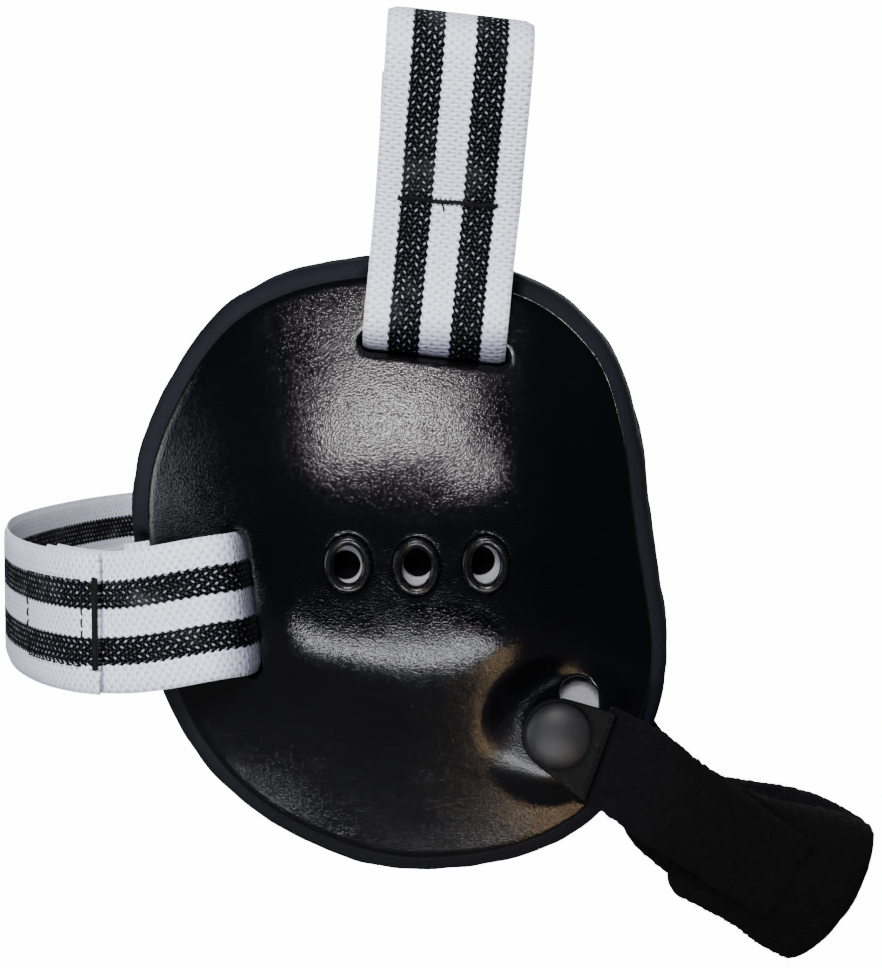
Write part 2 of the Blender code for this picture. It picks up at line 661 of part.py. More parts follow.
def chin_pad():
    """The wide foam-cored pad that cups the chin. The narrow straps grip its outer face."""
    thick_middle = CHIN_THICK / 2 + GAP
    rings = []
    start = round(PAD_SHARE * 60)
    last = 60
    whole = []
    for k in range(start, last + 1, 2):
        share = (k - start) / (last - start)
        whole.append((k, share))
    for side, order in ((RIGHT, whole), (LEFT, list(reversed(whole[:-1])))):
        half = chin_half_line(side)
        for k, share in order:
            run = Vector(half[min(k + 1, last)] - half[max(k - 1, 0)]).normalized()
            if k == last:
                run = Vector((0.0, -1.0, 0.0))
            wide = Vector(chin_across(k / last))
            wide = (wide - wide.dot(run) * run).normalized()
            inner = run.cross(wide).normalized()
            if inner.dot(Vector((1.0, 1.0, -1.0))) > 0:
                inner = -inner
            width = CHIN_PAD_WIDTHS[0] + (CHIN_PAD_WIDTHS[1] - CHIN_PAD_WIDTHS[0]) * smooth(share * 1.15)
            thick = CHIN_PAD_THICK[0] + (CHIN_PAD_THICK[1] - CHIN_PAD_THICK[0]) * smooth(share * 1.5)
            middle = Vector(half[k]) + inner * (thick_middle + thick / 2)
            a, b, e = width / 2, thick / 2, 0.35 * thick
            corners = (
                (a - e, b), (a, b - e), (a, e - b), (a - e, -b), (e - a, -b), (-a, e - b), (-a, b - e), (e - a, b),
            )
            rings.append([place(side, *(middle + wide * x + inner * y)) for x, y in corners])
    bm = bmesh.new()
    skin(bm, rings, ends="caps")
    return finish("chin_pad", bm, NAP, 0.95)


def chin_tab(side, name):
    """The smooth tab that carries the snap and is sewn over the narrow strap's end."""
    radius = SNAP_CAP_RADIUS + 0.7
    across = np.array((CHIN_ACROSS[0][0], CHIN_ACROSS[0][2]))
    along = np.array((across[1], -across[0]))
    start = np.array((CHIN_LINE[0][0], CHIN_LINE[0][2])) + along * 1.8
    top = start + across * (CHIN_WIDTH / 2 - 0.4)
    foot = start - across * (CHIN_WIDTH / 2 - 0.4)
    snap = np.array(SNAP)
    outline = [tuple(foot), tuple(top)]
    first = math.atan2(*(top - snap)[::-1]) + math.acos(radius / float(np.linalg.norm(top - snap)))
    final = math.atan2(*(foot - snap)[::-1]) - math.acos(radius / float(np.linalg.norm(foot - snap)))
    final += 2 * math.pi if final < first else 0
    steps = 14
    for k in range(steps + 1):
        a = first + (final - first) * k / steps
        outline.append((snap[0] + radius * math.cos(a), snap[1] + radius * math.sin(a)))
    bm = bmesh.new()
    through_prism(bm, side, outline, SNAP_TOP + 0.1, SNAP_TOP + 1.2)
    obj = finish(f"{name}_chin_tab", bm, NAP, 0.6)
    return cut(obj, side, [(circle(SNAP, 1.3, 14), SNAP_TOP - 2, SNAP_TOP + 4)])


# ---------------------------------------------------------------- build
def main():
    for obj in list(bpy.data.objects):
        bpy.data.objects.remove(obj, do_unlink=True)
    crown_strap()
    back_strap()
    chin_pad()
    for side, name in SIDES:
        shell(side, name)
        liner(side, name)
        ear_pad(side, name)
        for index, middle in enumerate(VENT_MIDDLES, start=1):
            vent_eyelet(side, name, index, middle)
        snap_fixed(side, name)
        snap_moving(side, name)
        chin_tab(side, name)
        chin_strap(side, name)
        hook_strip(side, name)
        back_loop(side, name)


main()
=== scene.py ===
import math

import bmesh
import bpy
import numpy as np
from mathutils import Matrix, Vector
from mathutils.geometry import delaunay_2d_cdt


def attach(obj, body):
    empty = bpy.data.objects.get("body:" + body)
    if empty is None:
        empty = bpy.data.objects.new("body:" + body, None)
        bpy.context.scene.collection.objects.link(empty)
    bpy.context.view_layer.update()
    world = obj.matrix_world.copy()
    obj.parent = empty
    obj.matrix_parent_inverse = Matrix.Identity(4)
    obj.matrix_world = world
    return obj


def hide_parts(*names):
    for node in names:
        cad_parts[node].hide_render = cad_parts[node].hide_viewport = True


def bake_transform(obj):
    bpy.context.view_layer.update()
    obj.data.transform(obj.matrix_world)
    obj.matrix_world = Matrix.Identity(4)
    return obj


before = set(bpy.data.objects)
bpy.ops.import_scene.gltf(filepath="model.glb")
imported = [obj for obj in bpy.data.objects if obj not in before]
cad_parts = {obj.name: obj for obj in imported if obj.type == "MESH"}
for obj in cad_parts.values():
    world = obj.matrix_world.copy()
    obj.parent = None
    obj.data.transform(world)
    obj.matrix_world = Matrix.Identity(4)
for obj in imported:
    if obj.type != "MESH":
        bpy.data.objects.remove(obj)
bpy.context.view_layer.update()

# The shape is drawn in a cup's own coordinates (u, h, w) in millimetres, as the CAD is: u forward and w up
# from the cup's middle, h outward from the pad's head side.
MM = 0.001
HALF_GAP = 54.0
CROWN_RISE = 95.8
CROWN_FORWARD = 11.0
WEBBING_WIDTH = 25.4
WEBBING_THICK = 1.5
LAYER_PITCH = 2.0
CHIN_WIDTH = 18.0
CHIN_THICK = 1.4
GAP = 0.3

PAD_THICK = 14.0
PAD_FLARE = 4.0
EAR_OPENING = (26.0, 33.0)
EAR_OPENING_MIDDLE = (0.0, 1.0)

SHELL_WALL = 2.4
SHELL_SEAT = PAD_THICK + GAP
SHELL_EDGE = 17.5
SHOULDER = 32.4
MOUND_MIDDLE = (2.0, 1.0)
MOUND_HALF = (23.5, 18.0)
MOUND_SQUARENESS = 3.4
SHOULDER_BENDS = (0.17, 0.42)
SLOPE_HOLLOW = 0.35

LINER_DROP = SHELL_WALL + 1.1
LINER_THICK = 2.0
LINER_REACH = 0.86

SNAP = (28.4, -30.4)
LAND = 23.2
LAND_RADIUS = (7.4, 15.0)
VALLEY = ((27.5, -9.0), (31.0, -30.0))
VALLEY_DEPTH = 1.0
VALLEY_WIDTH = 7.0

VENT_MIDDLES = ((-8.9, 0.7), (3.1, 0.3), (15.3, 0.7))
VENT_HALF = (3.0, 4.1)
EYELET_FLAT = 0.25
LINER_HOLE_RADIUS = 2.65
LINER_HOLE_SHIFTS = ((-0.6, -0.5), (0.3, 0.4), (-0.95, 0.3))

CROWN_SLOT = {"middle": (6.2, 38.0), "half_length": 13.9, "half_width": 2.3, "turn": -6.6}
BACK_SLOT = {"middle": (-27.6, -6.8), "half_length": 13.9, "half_width": 2.3, "turn": 97.4}
CHIN_SLOT = {"middle": (33.9, -32.6), "half_length": 10.6, "half_width": 2.3, "turn": 92.0}
CHIN_SLOT_EYE = (32.0, -23.6)

OUTLINE = (
    (-49.7, 4.0), (-46.5, 25.0), (-31.7, 46.8), (-7.6, 55.2), (21.2, 52.4), (37.0, 41.5), (43.7, 26.0),
    (46.8, 6.0), (49.6, -15.0), (48.4, -27.5), (44.4, -37.0), (35.5, -49.8), (18.6, -57.4), (-4.1, -58.2),
    (-28.5, -47.2), (-44.0, -26.5),
)
CROWN_TAIL = (
    (10.0, 31.6, 86.0), (9.5, 28.2, 76.0), (9.0, 24.3, 67.0), (8.7, 22.2, 63.4), (8.4, 18.0, 60.6),
    (8.0, 13.8, 58.0), (7.5, 12.6, 53.5), (6.9, 12.7, 46.0), (6.5, 14.2, 40.4),
)
CROWN_LEG = (
    (6.2, 18.8, 37.5), (6.2, 22.0, 37.9), (6.3, 24.2, 39.9), (6.6, 25.2, 43.4), (7.0, 24.9, 47.5),
    (7.6, 24.9, 54.0), (8.6, 26.8, 64.0), (9.5, 31.0, 75.0), (10.3, 34.3, 84.5),
)
CROWN_BEND = ((10.8, 35.0, 91.4), (11.0, 30.2, 96.0))
CROWN_BRIDGE_START = (11.0, 19.0, CROWN_RISE + WEBBING_THICK / 2)
BACK_STRAP = ((-53.6, 26.0), (-59.6, 21.6), (-67.0, 11.0), (-74.6, -8.0), (-80.0, -32.0))
BACK_STRAP_REAR = -82.0
BACK_LEVEL = -10.6
BACK_LOOP_BEHIND_SHELL = ((-50.6, 13.2), (-45.0, 12.6), (-38.0, 12.7), (-32.0, 14.6))
BACK_LOOP_FRONT = ((-27.5, 19.4), (-27.9, 25.8), (-30.2, 28.7), (-37.0, 29.0), (-45.0, 27.4))
CHIN_LINE = (
    (34.4, 25.4, -34.0), (39.5, 25.4, -36.2), (43.6, 24.8, -38.7), (48.6, 20.6, -43.2), (55.9, 9.0, -49.6),
    (62.4, -2.0, -55.6), (70.8, -16.0, -63.4), (82.6, -34.0, -72.8),
)
CHIN_FRONT = (93.0, -80.6)
CHIN_DROOP = 14.0
CHIN_STRAP_SHARE = 0.70
HOOK_SHARES = (0.10, 0.27)
PAD_SHARE = 0.30
CHIN_PAD_WIDTHS = (18.4, 33.0)
CHIN_PAD_THICK = (2.0, 4.0)
CHIN_PAD_LOWER = 5.0
CHIN_PAD_BOW = 3.6
CHIN_PAD_REACH = 2.6
HOOK_WIDTH = 17.0
HOOK_OFFSET = 1.95
TACK_LEVEL = 64.5
CHIN_ACROSS = ((0.33, 0.0, 0.94), (0.52, 0.0, 0.86))
SNAP_CAP_RADIUS = 5.9
SNAP_BASE = LAND + GAP
SNAP_TOP = SNAP_BASE + 3.0

PLATE_MARGIN = 0.8

RIGHT, LEFT = -1, 1
SIDES = ((RIGHT, "right"), (LEFT, "left"))
UPRIGHT = np.array((0.0, 0.0, 1.0))
WEAVE_ROW = 1.5
WEAVE_COLUMN = 0.98
SLOT_HALF_WIDTH = 1.7
FLOOR_LEVEL = -0.34
FLOOR_HALF = 2.6
WHITE = 15.0
LENS = 92.05
CAMERA_RISE = 4.0
CAMERA_AWAY = 0.450


# ---------------------------------------------------------------- coordinates and curves
def place(side, points):
    p = np.asarray(points, float)
    return np.stack([
        (p[..., 0] - CROWN_FORWARD) * MM, side * (HALF_GAP + p[..., 1]) * MM, (p[..., 2] - CROWN_RISE) * MM,
    ], axis=-1)


def catmull(points, samples, closed=False):
    knots = np.array(points, float)
    count = len(knots)
    if closed:
        before, after = np.roll(knots, 1, 0), np.roll(knots, -2, 0)
        here, there = knots, np.roll(knots, -1, 0)
    else:
        padded = np.vstack([2 * knots[0] - knots[1], knots, 2 * knots[-1] - knots[-2]])
        before, here, there, after = padded[:-3], padded[1:-2], padded[2:-1], padded[3:]
    spans = len(here)
    at = np.arange(samples) * spans / (samples if closed else samples - 1)
    i = np.minimum(at.astype(int), spans - 1)
    t = (at - i)[:, None]
    a, b, c, d = before[i], here[i], there[i], after[i]
    return 0.5 * (2 * b + (c - a) * t + (2 * a - 5 * b + 4 * c - d) * t**2 + (3 * b - a - 3 * c + d) * t**3)


def lengths(line):
    return np.concatenate([[0], np.cumsum(np.linalg.norm(np.diff(line, axis=0), axis=1))])


def sample(line, along, at):
    """Points of a line at the lengths at, where along holds its own points' lengths."""
    return np.stack([np.interp(at, along, line[:, k]) for k in range(line.shape[1])], axis=1)


def even(points, samples):
    line = np.array(points, float)
    along = lengths(line)
    return sample(line, along, np.linspace(0, along[-1], samples))


def smooth(t):
    t = np.clip(t, 0.0, 1.0)
    return t * t * (3 - 2 * t)


def unit(v):
    return v / np.maximum(np.linalg.norm(v, axis=-1, keepdims=True), 1e-12)


def loop_angles(count):
    return np.arange(count) * 2 * math.pi / count


def hoop(middle, half, height, count):
    """An oval of (u, h, w) points. half holds its half sizes, or its radius at each angle."""
    a = loop_angles(count)
    u, w = middle[0] + half[0] * np.cos(a), middle[1] + half[1] * np.sin(a)
    return np.column_stack([u, np.full(count, height), w])


def wave(points, scale, seed):
    """Smooth random values, about -1 to 1, at points in millimetres. scale is the size of a lump."""
    random = np.random.default_rng(seed)
    p = np.asarray(points, float)
    total = np.zeros(len(p))
    for k in range(7):
        direction = unit(random.normal(size=3))
        size = scale * random.uniform(0.6, 1.7)
        total += np.sin(p @ direction * 2 * math.pi / size + random.uniform(0, 6.28))
    return total / 3.5


# ---------------------------------------------------------------- the cup's outline and outer surface
RIM = catmull(OUTLINE, 720, closed=True)
RIM_ANGLES = np.arctan2(RIM[:, 1], RIM[:, 0])
RIM_RADII = np.hypot(RIM[:, 0], RIM[:, 1])
RIM_ORDER = np.argsort(RIM_ANGLES)


def rim_radius(angle):
    return np.interp(angle, RIM_ANGLES[RIM_ORDER], RIM_RADII[RIM_ORDER], period=2 * math.pi)


def shell_radius(angle):
    return rim_radius(angle) - PAD_FLARE


def distance_to_segment(p, start, end):
    a, b = np.array(start), np.array(end)
    along = np.clip((p - a) @ (b - a) / ((b - a) @ (b - a)), 0, 1)
    return np.linalg.norm(p - a - along[:, None] * (b - a), axis=1)


def shell_height(p):
    """h of the shell's outer face at points (u, w)."""
    p = np.atleast_2d(np.asarray(p, float))
    u, w = p[:, 0], p[:, 1]
    power = MOUND_SQUARENESS
    q = (
        (np.abs(u - MOUND_MIDDLE[0]) / MOUND_HALF[0]) ** power
        + (np.abs(w - MOUND_MIDDLE[1]) / MOUND_HALF[1]) ** power
    ) ** (1 / power)
    out = np.minimum(np.hypot(u, w) / shell_radius(np.arctan2(w, u)), 1.0)
    spread = q / np.maximum(out, 1e-6)
    spread = np.where(q < 1, 2 + (spread - 2) * smooth(q), spread)
    t = (q - 1) / np.maximum(spread - 1, 1e-6)
    upward = smooth((w - MOUND_MIDDLE[1]) / 24 + 0.5)
    t = t * (1 + SLOPE_HOLLOW * (1 - upward) * (1 - np.abs(t)))
    bend = SHOULDER_BENDS[0] + (SHOULDER_BENDS[1] - SHOULDER_BENDS[0]) * upward
    reach = np.sqrt(1 + bend**2)
    fallen = (t + np.sqrt(t * t + bend**2) + 1 - reach) / 2
    height = SHELL_EDGE + (SHOULDER - SHELL_EDGE) * (1 - fallen)
    dip = VALLEY_DEPTH * np.exp(-((distance_to_segment(p, *VALLEY) / VALLEY_WIDTH) ** 2))
    height -= dip * smooth((height - SHELL_EDGE) / 8.0)
    off = np.hypot(u - SNAP[0], w - SNAP[1])
    land = 1 - smooth((off - LAND_RADIUS[0]) / (LAND_RADIUS[1] - LAND_RADIUS[0]))
    land *= smooth((1 - out) / 0.10)
    return height + land * (LAND - height)


# ---------------------------------------------------------------- outlines: a signed distance and a loop
def stadium(slot):
    turn = math.radians(slot["turn"])
    along = np.array((math.cos(turn), math.sin(turn)))
    side = np.array((-along[1], along[0]))
    middle = np.array(slot["middle"])
    half, radius = slot["half_length"] - slot["half_width"], slot["half_width"]

    def distance(p):
        x, y = np.abs((p - middle) @ along), (p - middle) @ side
        return np.hypot(np.maximum(x - half, 0), y) - radius

    def loop(extra):
        r = radius + extra
        arc = np.linspace(-math.pi / 2, math.pi / 2, 12)
        straight = np.linspace(-half, half, 26)[1:-1]
        x = np.concatenate([half + r * np.cos(arc), -straight, -half - r * np.cos(arc), straight])
        y = np.concatenate([r * np.sin(arc), r + 0 * straight, -r * np.sin(arc), -r + 0 * straight])
        return middle + x[:, None] * along + y[:, None] * side

    return distance, loop


def oval(middle, half, count=40):
    middle, half = np.array(middle), np.array(half, float)

    def distance(p):
        q = (p - middle) / half
        return (np.linalg.norm(q, axis=1) - 1) * half.min()

    def loop(extra):
        a = loop_angles(count)
        return middle + np.stack([(half[0] + extra) * np.cos(a), (half[1] + extra) * np.sin(a)], axis=1)

    return distance, loop


def channel(slot, outward, length):
    turn = math.radians(slot["turn"])
    along = np.array((math.cos(turn), math.sin(turn))) * slot["half_length"]
    away = np.array(outward, float)
    start = np.array(slot["middle"]) - away * (slot["half_width"] + 0.6)
    end = start + away * length
    corners = np.array([start - along, start + along, end + along, end - along])

    def distance(p):
        x = np.abs((p - start) @ unit(along)) - np.linalg.norm(along)
        y = np.abs((p - start) @ unit(away) - length / 2) - length / 2
        return np.maximum(x, y)

    def loop(extra):
        return even(np.vstack([corners, corners[:1]]), 97)[:-1]

    return distance, loop


CROWN_CHANNEL = channel(CROWN_SLOT, (0.11, 0.99), 34)
BACK_CHANNEL = channel(BACK_SLOT, (-0.99, -0.1), 38)


def outline_shape(radius, share=1.0, count=300):
    def distance(p):
        a = np.arctan2(p[:, 1], p[:, 0])
        return np.hypot(p[:, 0], p[:, 1]) - share * radius(a)

    def loop(extra):
        a = loop_angles(count)
        r = share * radius(a) + extra
        return np.stack([r * np.cos(a), r * np.sin(a)], axis=1)

    return distance, loop


def polygon_shape(corners, rounding=0.8, count=120):
    """A convex outline with rounded corners."""
    ring = np.array(corners, float)
    dense = even(np.vstack([ring, ring[:1]]), count + 1)[:-1]
    middle = dense.mean(0)
    for _ in range(max(1, round(rounding * 4))):
        dense = (np.roll(dense, 1, 0) + 2 * dense + np.roll(dense, -1, 0)) / 4
    outward = unit(dense - middle)

    def distance(p):
        a = np.roll(dense, -1, 0) - dense
        normal = unit(np.stack([a[:, 1], -a[:, 0]], axis=1))
        if ((dense - middle) * normal).sum() < 0:
            normal = -normal
        return ((p[:, None] - dense[None]) * normal[None]).sum(2).max(1)

    def loop(extra):
        return dense + outward * extra

    return distance, loop


# ---------------------------------------------------------------- meshes
def build(name, verts, faces, material, rest=None, uv=None):
    """A mesh object in the object's frame. rest holds each point's place in millimetres for the patterns, and
    uv its place across and along webbing."""
    mesh = bpy.data.meshes.new(name)
    verts = np.asarray(verts, float)
    mesh.from_pydata([tuple(v) for v in verts], [], [tuple(int(i) for i in f) for f in faces])
    mesh.validate()
    bm = bmesh.new()
    bm.from_mesh(mesh)
    bmesh.ops.recalc_face_normals(bm, faces=bm.faces)
    bm.to_mesh(mesh)
    bm.free()
    mesh.shade_smooth()
    rest = verts / MM if rest is None else np.asarray(rest, float)
    place_mm = mesh.attributes.new("rest_mm", "FLOAT_VECTOR", "POINT")
    place_mm.data.foreach_set("vector", rest.astype(np.float32).ravel())
    if uv is not None:
        weave = mesh.attributes.new("weave_mm", "FLOAT_VECTOR", "POINT")
        weave.data.foreach_set("vector", np.column_stack([uv, np.zeros(len(uv))]).astype(np.float32).ravel())
    mesh.materials.append(material)
    obj = bpy.data.objects.new(name, mesh)
    bpy.context.scene.collection.objects.link(obj)
    return obj


def ring_faces(rows, count, loop_rows=False):
    """Quads between rings of count points each, as indices."""
    k = np.arange(count)
    j = (k + 1) % count
    faces = []
    for r in range(rows if loop_rows else rows - 1):
        a, b = r * count, ((r + 1) % rows) * count
        faces.append(np.stack([a + k, a + j, b + j, b + k], axis=1))
    return np.vstack(faces)


def capped_faces(rows, count):
    """The faces of a closed tube of rings."""
    faces = [tuple(f) for f in ring_faces(rows, count)]
    return faces + [tuple(range(count)), tuple((rows - 1) * count + k for k in range(count))]


def plate(name, side, outline, holes, top, bottom, material, roll=0.9, spacing=1.2):
    """A curved plate with holes: top and bottom give h at (u, w), and every edge is rolled over."""
    steps = (0.0, 0.12 * roll, 0.4 * roll, roll, roll + PLATE_MARGIN)
    loops = [outline[1](-d) for d in steps]
    for _, loop in holes:
        loops += [loop(d) for d in steps]
    edges, points = [], []
    for ring in loops:
        first = len(points)
        points += list(ring)
        edges += [(first + k, first + (k + 1) % len(ring)) for k in range(len(ring))]
    low, high = loops[0].min(0), loops[0].max(0)
    grid = np.array([
        (x + (spacing / 2 if r % 2 else 0), y)
        for r, y in enumerate(np.arange(low[1], high[1], spacing * 0.87))
        for x in np.arange(low[0], high[0], spacing)
    ])
    margin = roll + PLATE_MARGIN + 0.5 * spacing
    clear = outline[0](grid) < -margin
    for distance, _ in holes:
        clear &= distance(grid) > margin
    points += list(grid[clear])
    found = delaunay_2d_cdt([Vector(p) for p in points], edges, [], 0, 1e-5, False)
    flat = np.array([tuple(v) for v in found[0]])
    triangles = np.array([f for f in found[2] if len(f) == 3])
    centres = flat[triangles].mean(1)
    keep = outline[0](centres) < 0.02
    for distance, _ in holes:
        keep &= distance(centres) > -0.02
    triangles = triangles[keep]
    used, triangles = np.unique(triangles, return_inverse=True)
    triangles = triangles.reshape(-1, 3)
    flat = flat[used]
    edge_distance = np.minimum(-outline[0](flat), 99)
    for distance, _ in holes:
        edge_distance = np.minimum(edge_distance, distance(flat))
    near = np.clip(edge_distance, 0, roll)
    drop = roll - np.sqrt(np.maximum(roll**2 - (roll - near) ** 2, 0))
    upper = top(flat) - drop
    lower = np.minimum(bottom(flat) + 0.5 * drop, upper - 0.3)
    count = len(flat)
    uhw = np.vstack([
        np.column_stack([flat[:, 0], upper, flat[:, 1]]), np.column_stack([flat[:, 0], lower, flat[:, 1]]),
    ])
    sides = np.sort(np.vstack([triangles[:, [0, 1]], triangles[:, [1, 2]], triangles[:, [2, 0]]]), axis=1)
    unique, times = np.unique(sides, axis=0, return_counts=True)
    walls = [(a, b, b + count, a + count) for a, b in unique[times == 1]]
    faces = [tuple(f) for f in triangles] + [tuple(f + count) for f in triangles] + walls
    return build(name, place(side, uhw), faces, material, rest=uhw)


def ringed(name, side, rings, material, closed_profile=True, caps=False):
    """A closed surface from rings of (u, h, w) points."""
    rows, count = len(rings), len(rings[0])
    uhw = np.vstack(rings)
    faces = list(ring_faces(rows, count, loop_rows=closed_profile))
    if caps:
        uhw = np.vstack([uhw, rings[0].mean(0), rings[-1].mean(0)])
        k = np.arange(count)
        j = (k + 1) % count
        top, end = rows * count, rows * count + 1
        faces += [(top, a, b) for a, b in zip(k, j)]
        faces += [(end, a, b) for a, b in zip((rows - 1) * count + k, (rows - 1) * count + j)]
    return build(name, place(side, uhw), faces, material, rest=uhw)


def turned(name, side, middle, profile, material, count=64, hollow=False):
    """A solid of revolution about the outward axis, from (radius, h) points."""
    rings = [hoop(middle, (r, r), h, count) for r, h in profile]
    return ringed(name, side, rings, material, closed_profile=hollow, caps=not hollow)


def frames_along(line, across):
    """Unit vectors along a line, across it and out of it."""
    run = unit(np.gradient(line, axis=0))
    wide = unit(across - (across * run).sum(1, keepdims=True) * run)
    return run, wide, np.cross(run, wide)


def ribbon(name, side, line, across, widths, thicks, material, columns=20, soft=0.5, relief=None, edge=None,
           bow=None):
    """A closed band along a line. relief gives each face's height over the band from (x across, y along), edge
    how far its sides stand out at y, and bow how far its sides curl back along each row's outward direction."""
    _, wide, out = frames_along(line, across)
    along = lengths(line)
    rows = len(line)
    widths = np.broadcast_to(widths, (rows,))
    thicks = np.broadcast_to(thicks, (rows,))
    s = np.linspace(1, -1, columns + 1)
    top = np.column_stack([s, np.sqrt(np.maximum(1 - np.abs(s) ** (8 / soft), 0.0)) * 0.82 + 0.18])
    ring = np.vstack([top, [(-1.012, 0.0)], top[::-1] * (1, -1), [(1.012, 0.0)]])
    count = len(ring)
    x = ring[None, :, 0] * widths[:, None] / 2
    y = np.repeat(along[:, None], count, axis=1)
    if edge is not None:
        x = x + np.sign(x) * smooth((np.abs(ring[None, :, 0]) - 0.9) / 0.1) * edge(y)
    z = ring[None, :, 1] * thicks[:, None] / 2
    if relief is not None:
        z = z + np.sign(ring[None, :, 1]) * relief(x, y)
    if bow is not None:
        z = z - bow[:, None] * ring[None, :, 0] ** 2
    uhw = line[:, None] + wide[:, None] * x[..., None] + out[:, None] * z[..., None]
    flat = uhw.reshape(-1, 3)
    uv = np.column_stack([x.ravel(), y.ravel()])
    return build(name, place(side, flat), capped_faces(rows, count), material, rest=flat, uv=uv)


def tube(points, radius, sides=6):
    """Verts and faces of a closed tube along (u, h, w) points."""
    line = np.asarray(points, float)
    run = unit(np.gradient(line, axis=0))
    helper = np.where(np.abs(run[:, :1]) > 0.8, np.array([[0.0, 0.0, 1.0]]), np.array([[1.0, 0.0, 0.0]]))
    a_axis = unit(np.cross(run, helper))
    b_axis = np.cross(run, a_axis)
    a = loop_angles(sides)
    radii = np.broadcast_to(radius, (len(line),))
    rings = line[:, None] + radii[:, None, None] * (
        a_axis[:, None] * np.cos(a)[None, :, None] + b_axis[:, None] * np.sin(a)[None, :, None]
    )
    return rings.reshape(-1, 3), capped_faces(len(line), sides)


def gather(name, side, pieces, material):
    """One object from several (verts, faces) in (u, h, w)."""
    verts, faces = [], []
    for v, f in pieces:
        base = sum(len(x) for x in verts)
        verts.append(v)
        faces += [tuple(int(i) + base for i in face) for face in f]
    flat = np.vstack(verts)
    return build(name, place(side, flat), faces, material, rest=flat)


def stitches(path, normal, pitch=2.6, thread=0.22, lift=0.12, fill=0.74):
    """Thread stitches along a path, each an arched tube that dips into the cloth at both ends."""
    line = np.asarray(path, float)
    along = lengths(line)
    normals = np.broadcast_to(np.asarray(normal, float), line.shape)
    count = max(1, int(round(along[-1] / pitch)))
    made = []
    for k in range(count):
        start = (k + 0.5 - fill / 2) * along[-1] / count
        end = (k + 0.5 + fill / 2) * along[-1] / count
        at = np.linspace(start, end, 7)
        p, n = sample(line, along, at), sample(normals, along, at)
        arch = np.sin(np.linspace(0, math.pi, 7)) ** 0.6
        p = p + n * ((arch * (thread + lift) - 0.5 * thread)[:, None])
        made.append(tube(p, thread * (0.8 + 0.2 * arch), 6))
    return made


def fibres(points, normals, count, length, thick, seed, flat=0.6):
    """Short bent fibres standing on a surface, each a closed sliver, as (verts, faces)."""
    random = np.random.default_rng(seed)
    pick = random.integers(0, len(points), count)
    base = points[pick] + random.normal(size=(count, 3)) * 0.25
    lean = unit(normals[pick] + flat * random.normal(size=(count, 3)))
    reach = length * random.uniform(0.4, 1.0, count)[:, None]
    sag = unit(random.normal(size=(count, 3))) * reach * 0.35
    side_a = unit(np.cross(lean, random.normal(size=(count, 3))))
    side_b = np.cross(lean, side_a)
    ring = [(1, 0), (-0.5, 0.87), (-0.5, -0.87)]
    verts = np.zeros((count, 7, 3))
    for k, (a, b) in enumerate(ring):
        off = side_a * a + side_b * b
        verts[:, k] = base - lean * 0.15 + off * thick
        verts[:, 3 + k] = base + lean * reach * 0.55 + sag * 0.3 + off * thick * 0.8
    verts[:, 6] = base + lean * reach + sag
    pattern = [(0, 2, 1)]
    for k in range(3):
        j = (k + 1) % 3
        pattern += [(k, j, 3 + j, 3 + k), (3 + k, 3 + j, 6)]
    faces = [tuple(7 * n + i for i in f) for n in range(count) for f in pattern]
    return verts.reshape(-1, 3), faces


# ---------------------------------------------------------------- materials
class Value:
    """A node's output, with arithmetic that adds Math nodes."""

    def __init__(self, graph, socket):
        self.graph, self.socket = graph, socket

    def __add__(self, other):
        return self.graph.math("ADD", self, other)

    def __sub__(self, other):
        return self.graph.math("SUBTRACT", self, other)

    def __mul__(self, other):
        return self.graph.math("MULTIPLY", self, other)

    def __truediv__(self, other):
        return self.graph.math("DIVIDE", self, other)


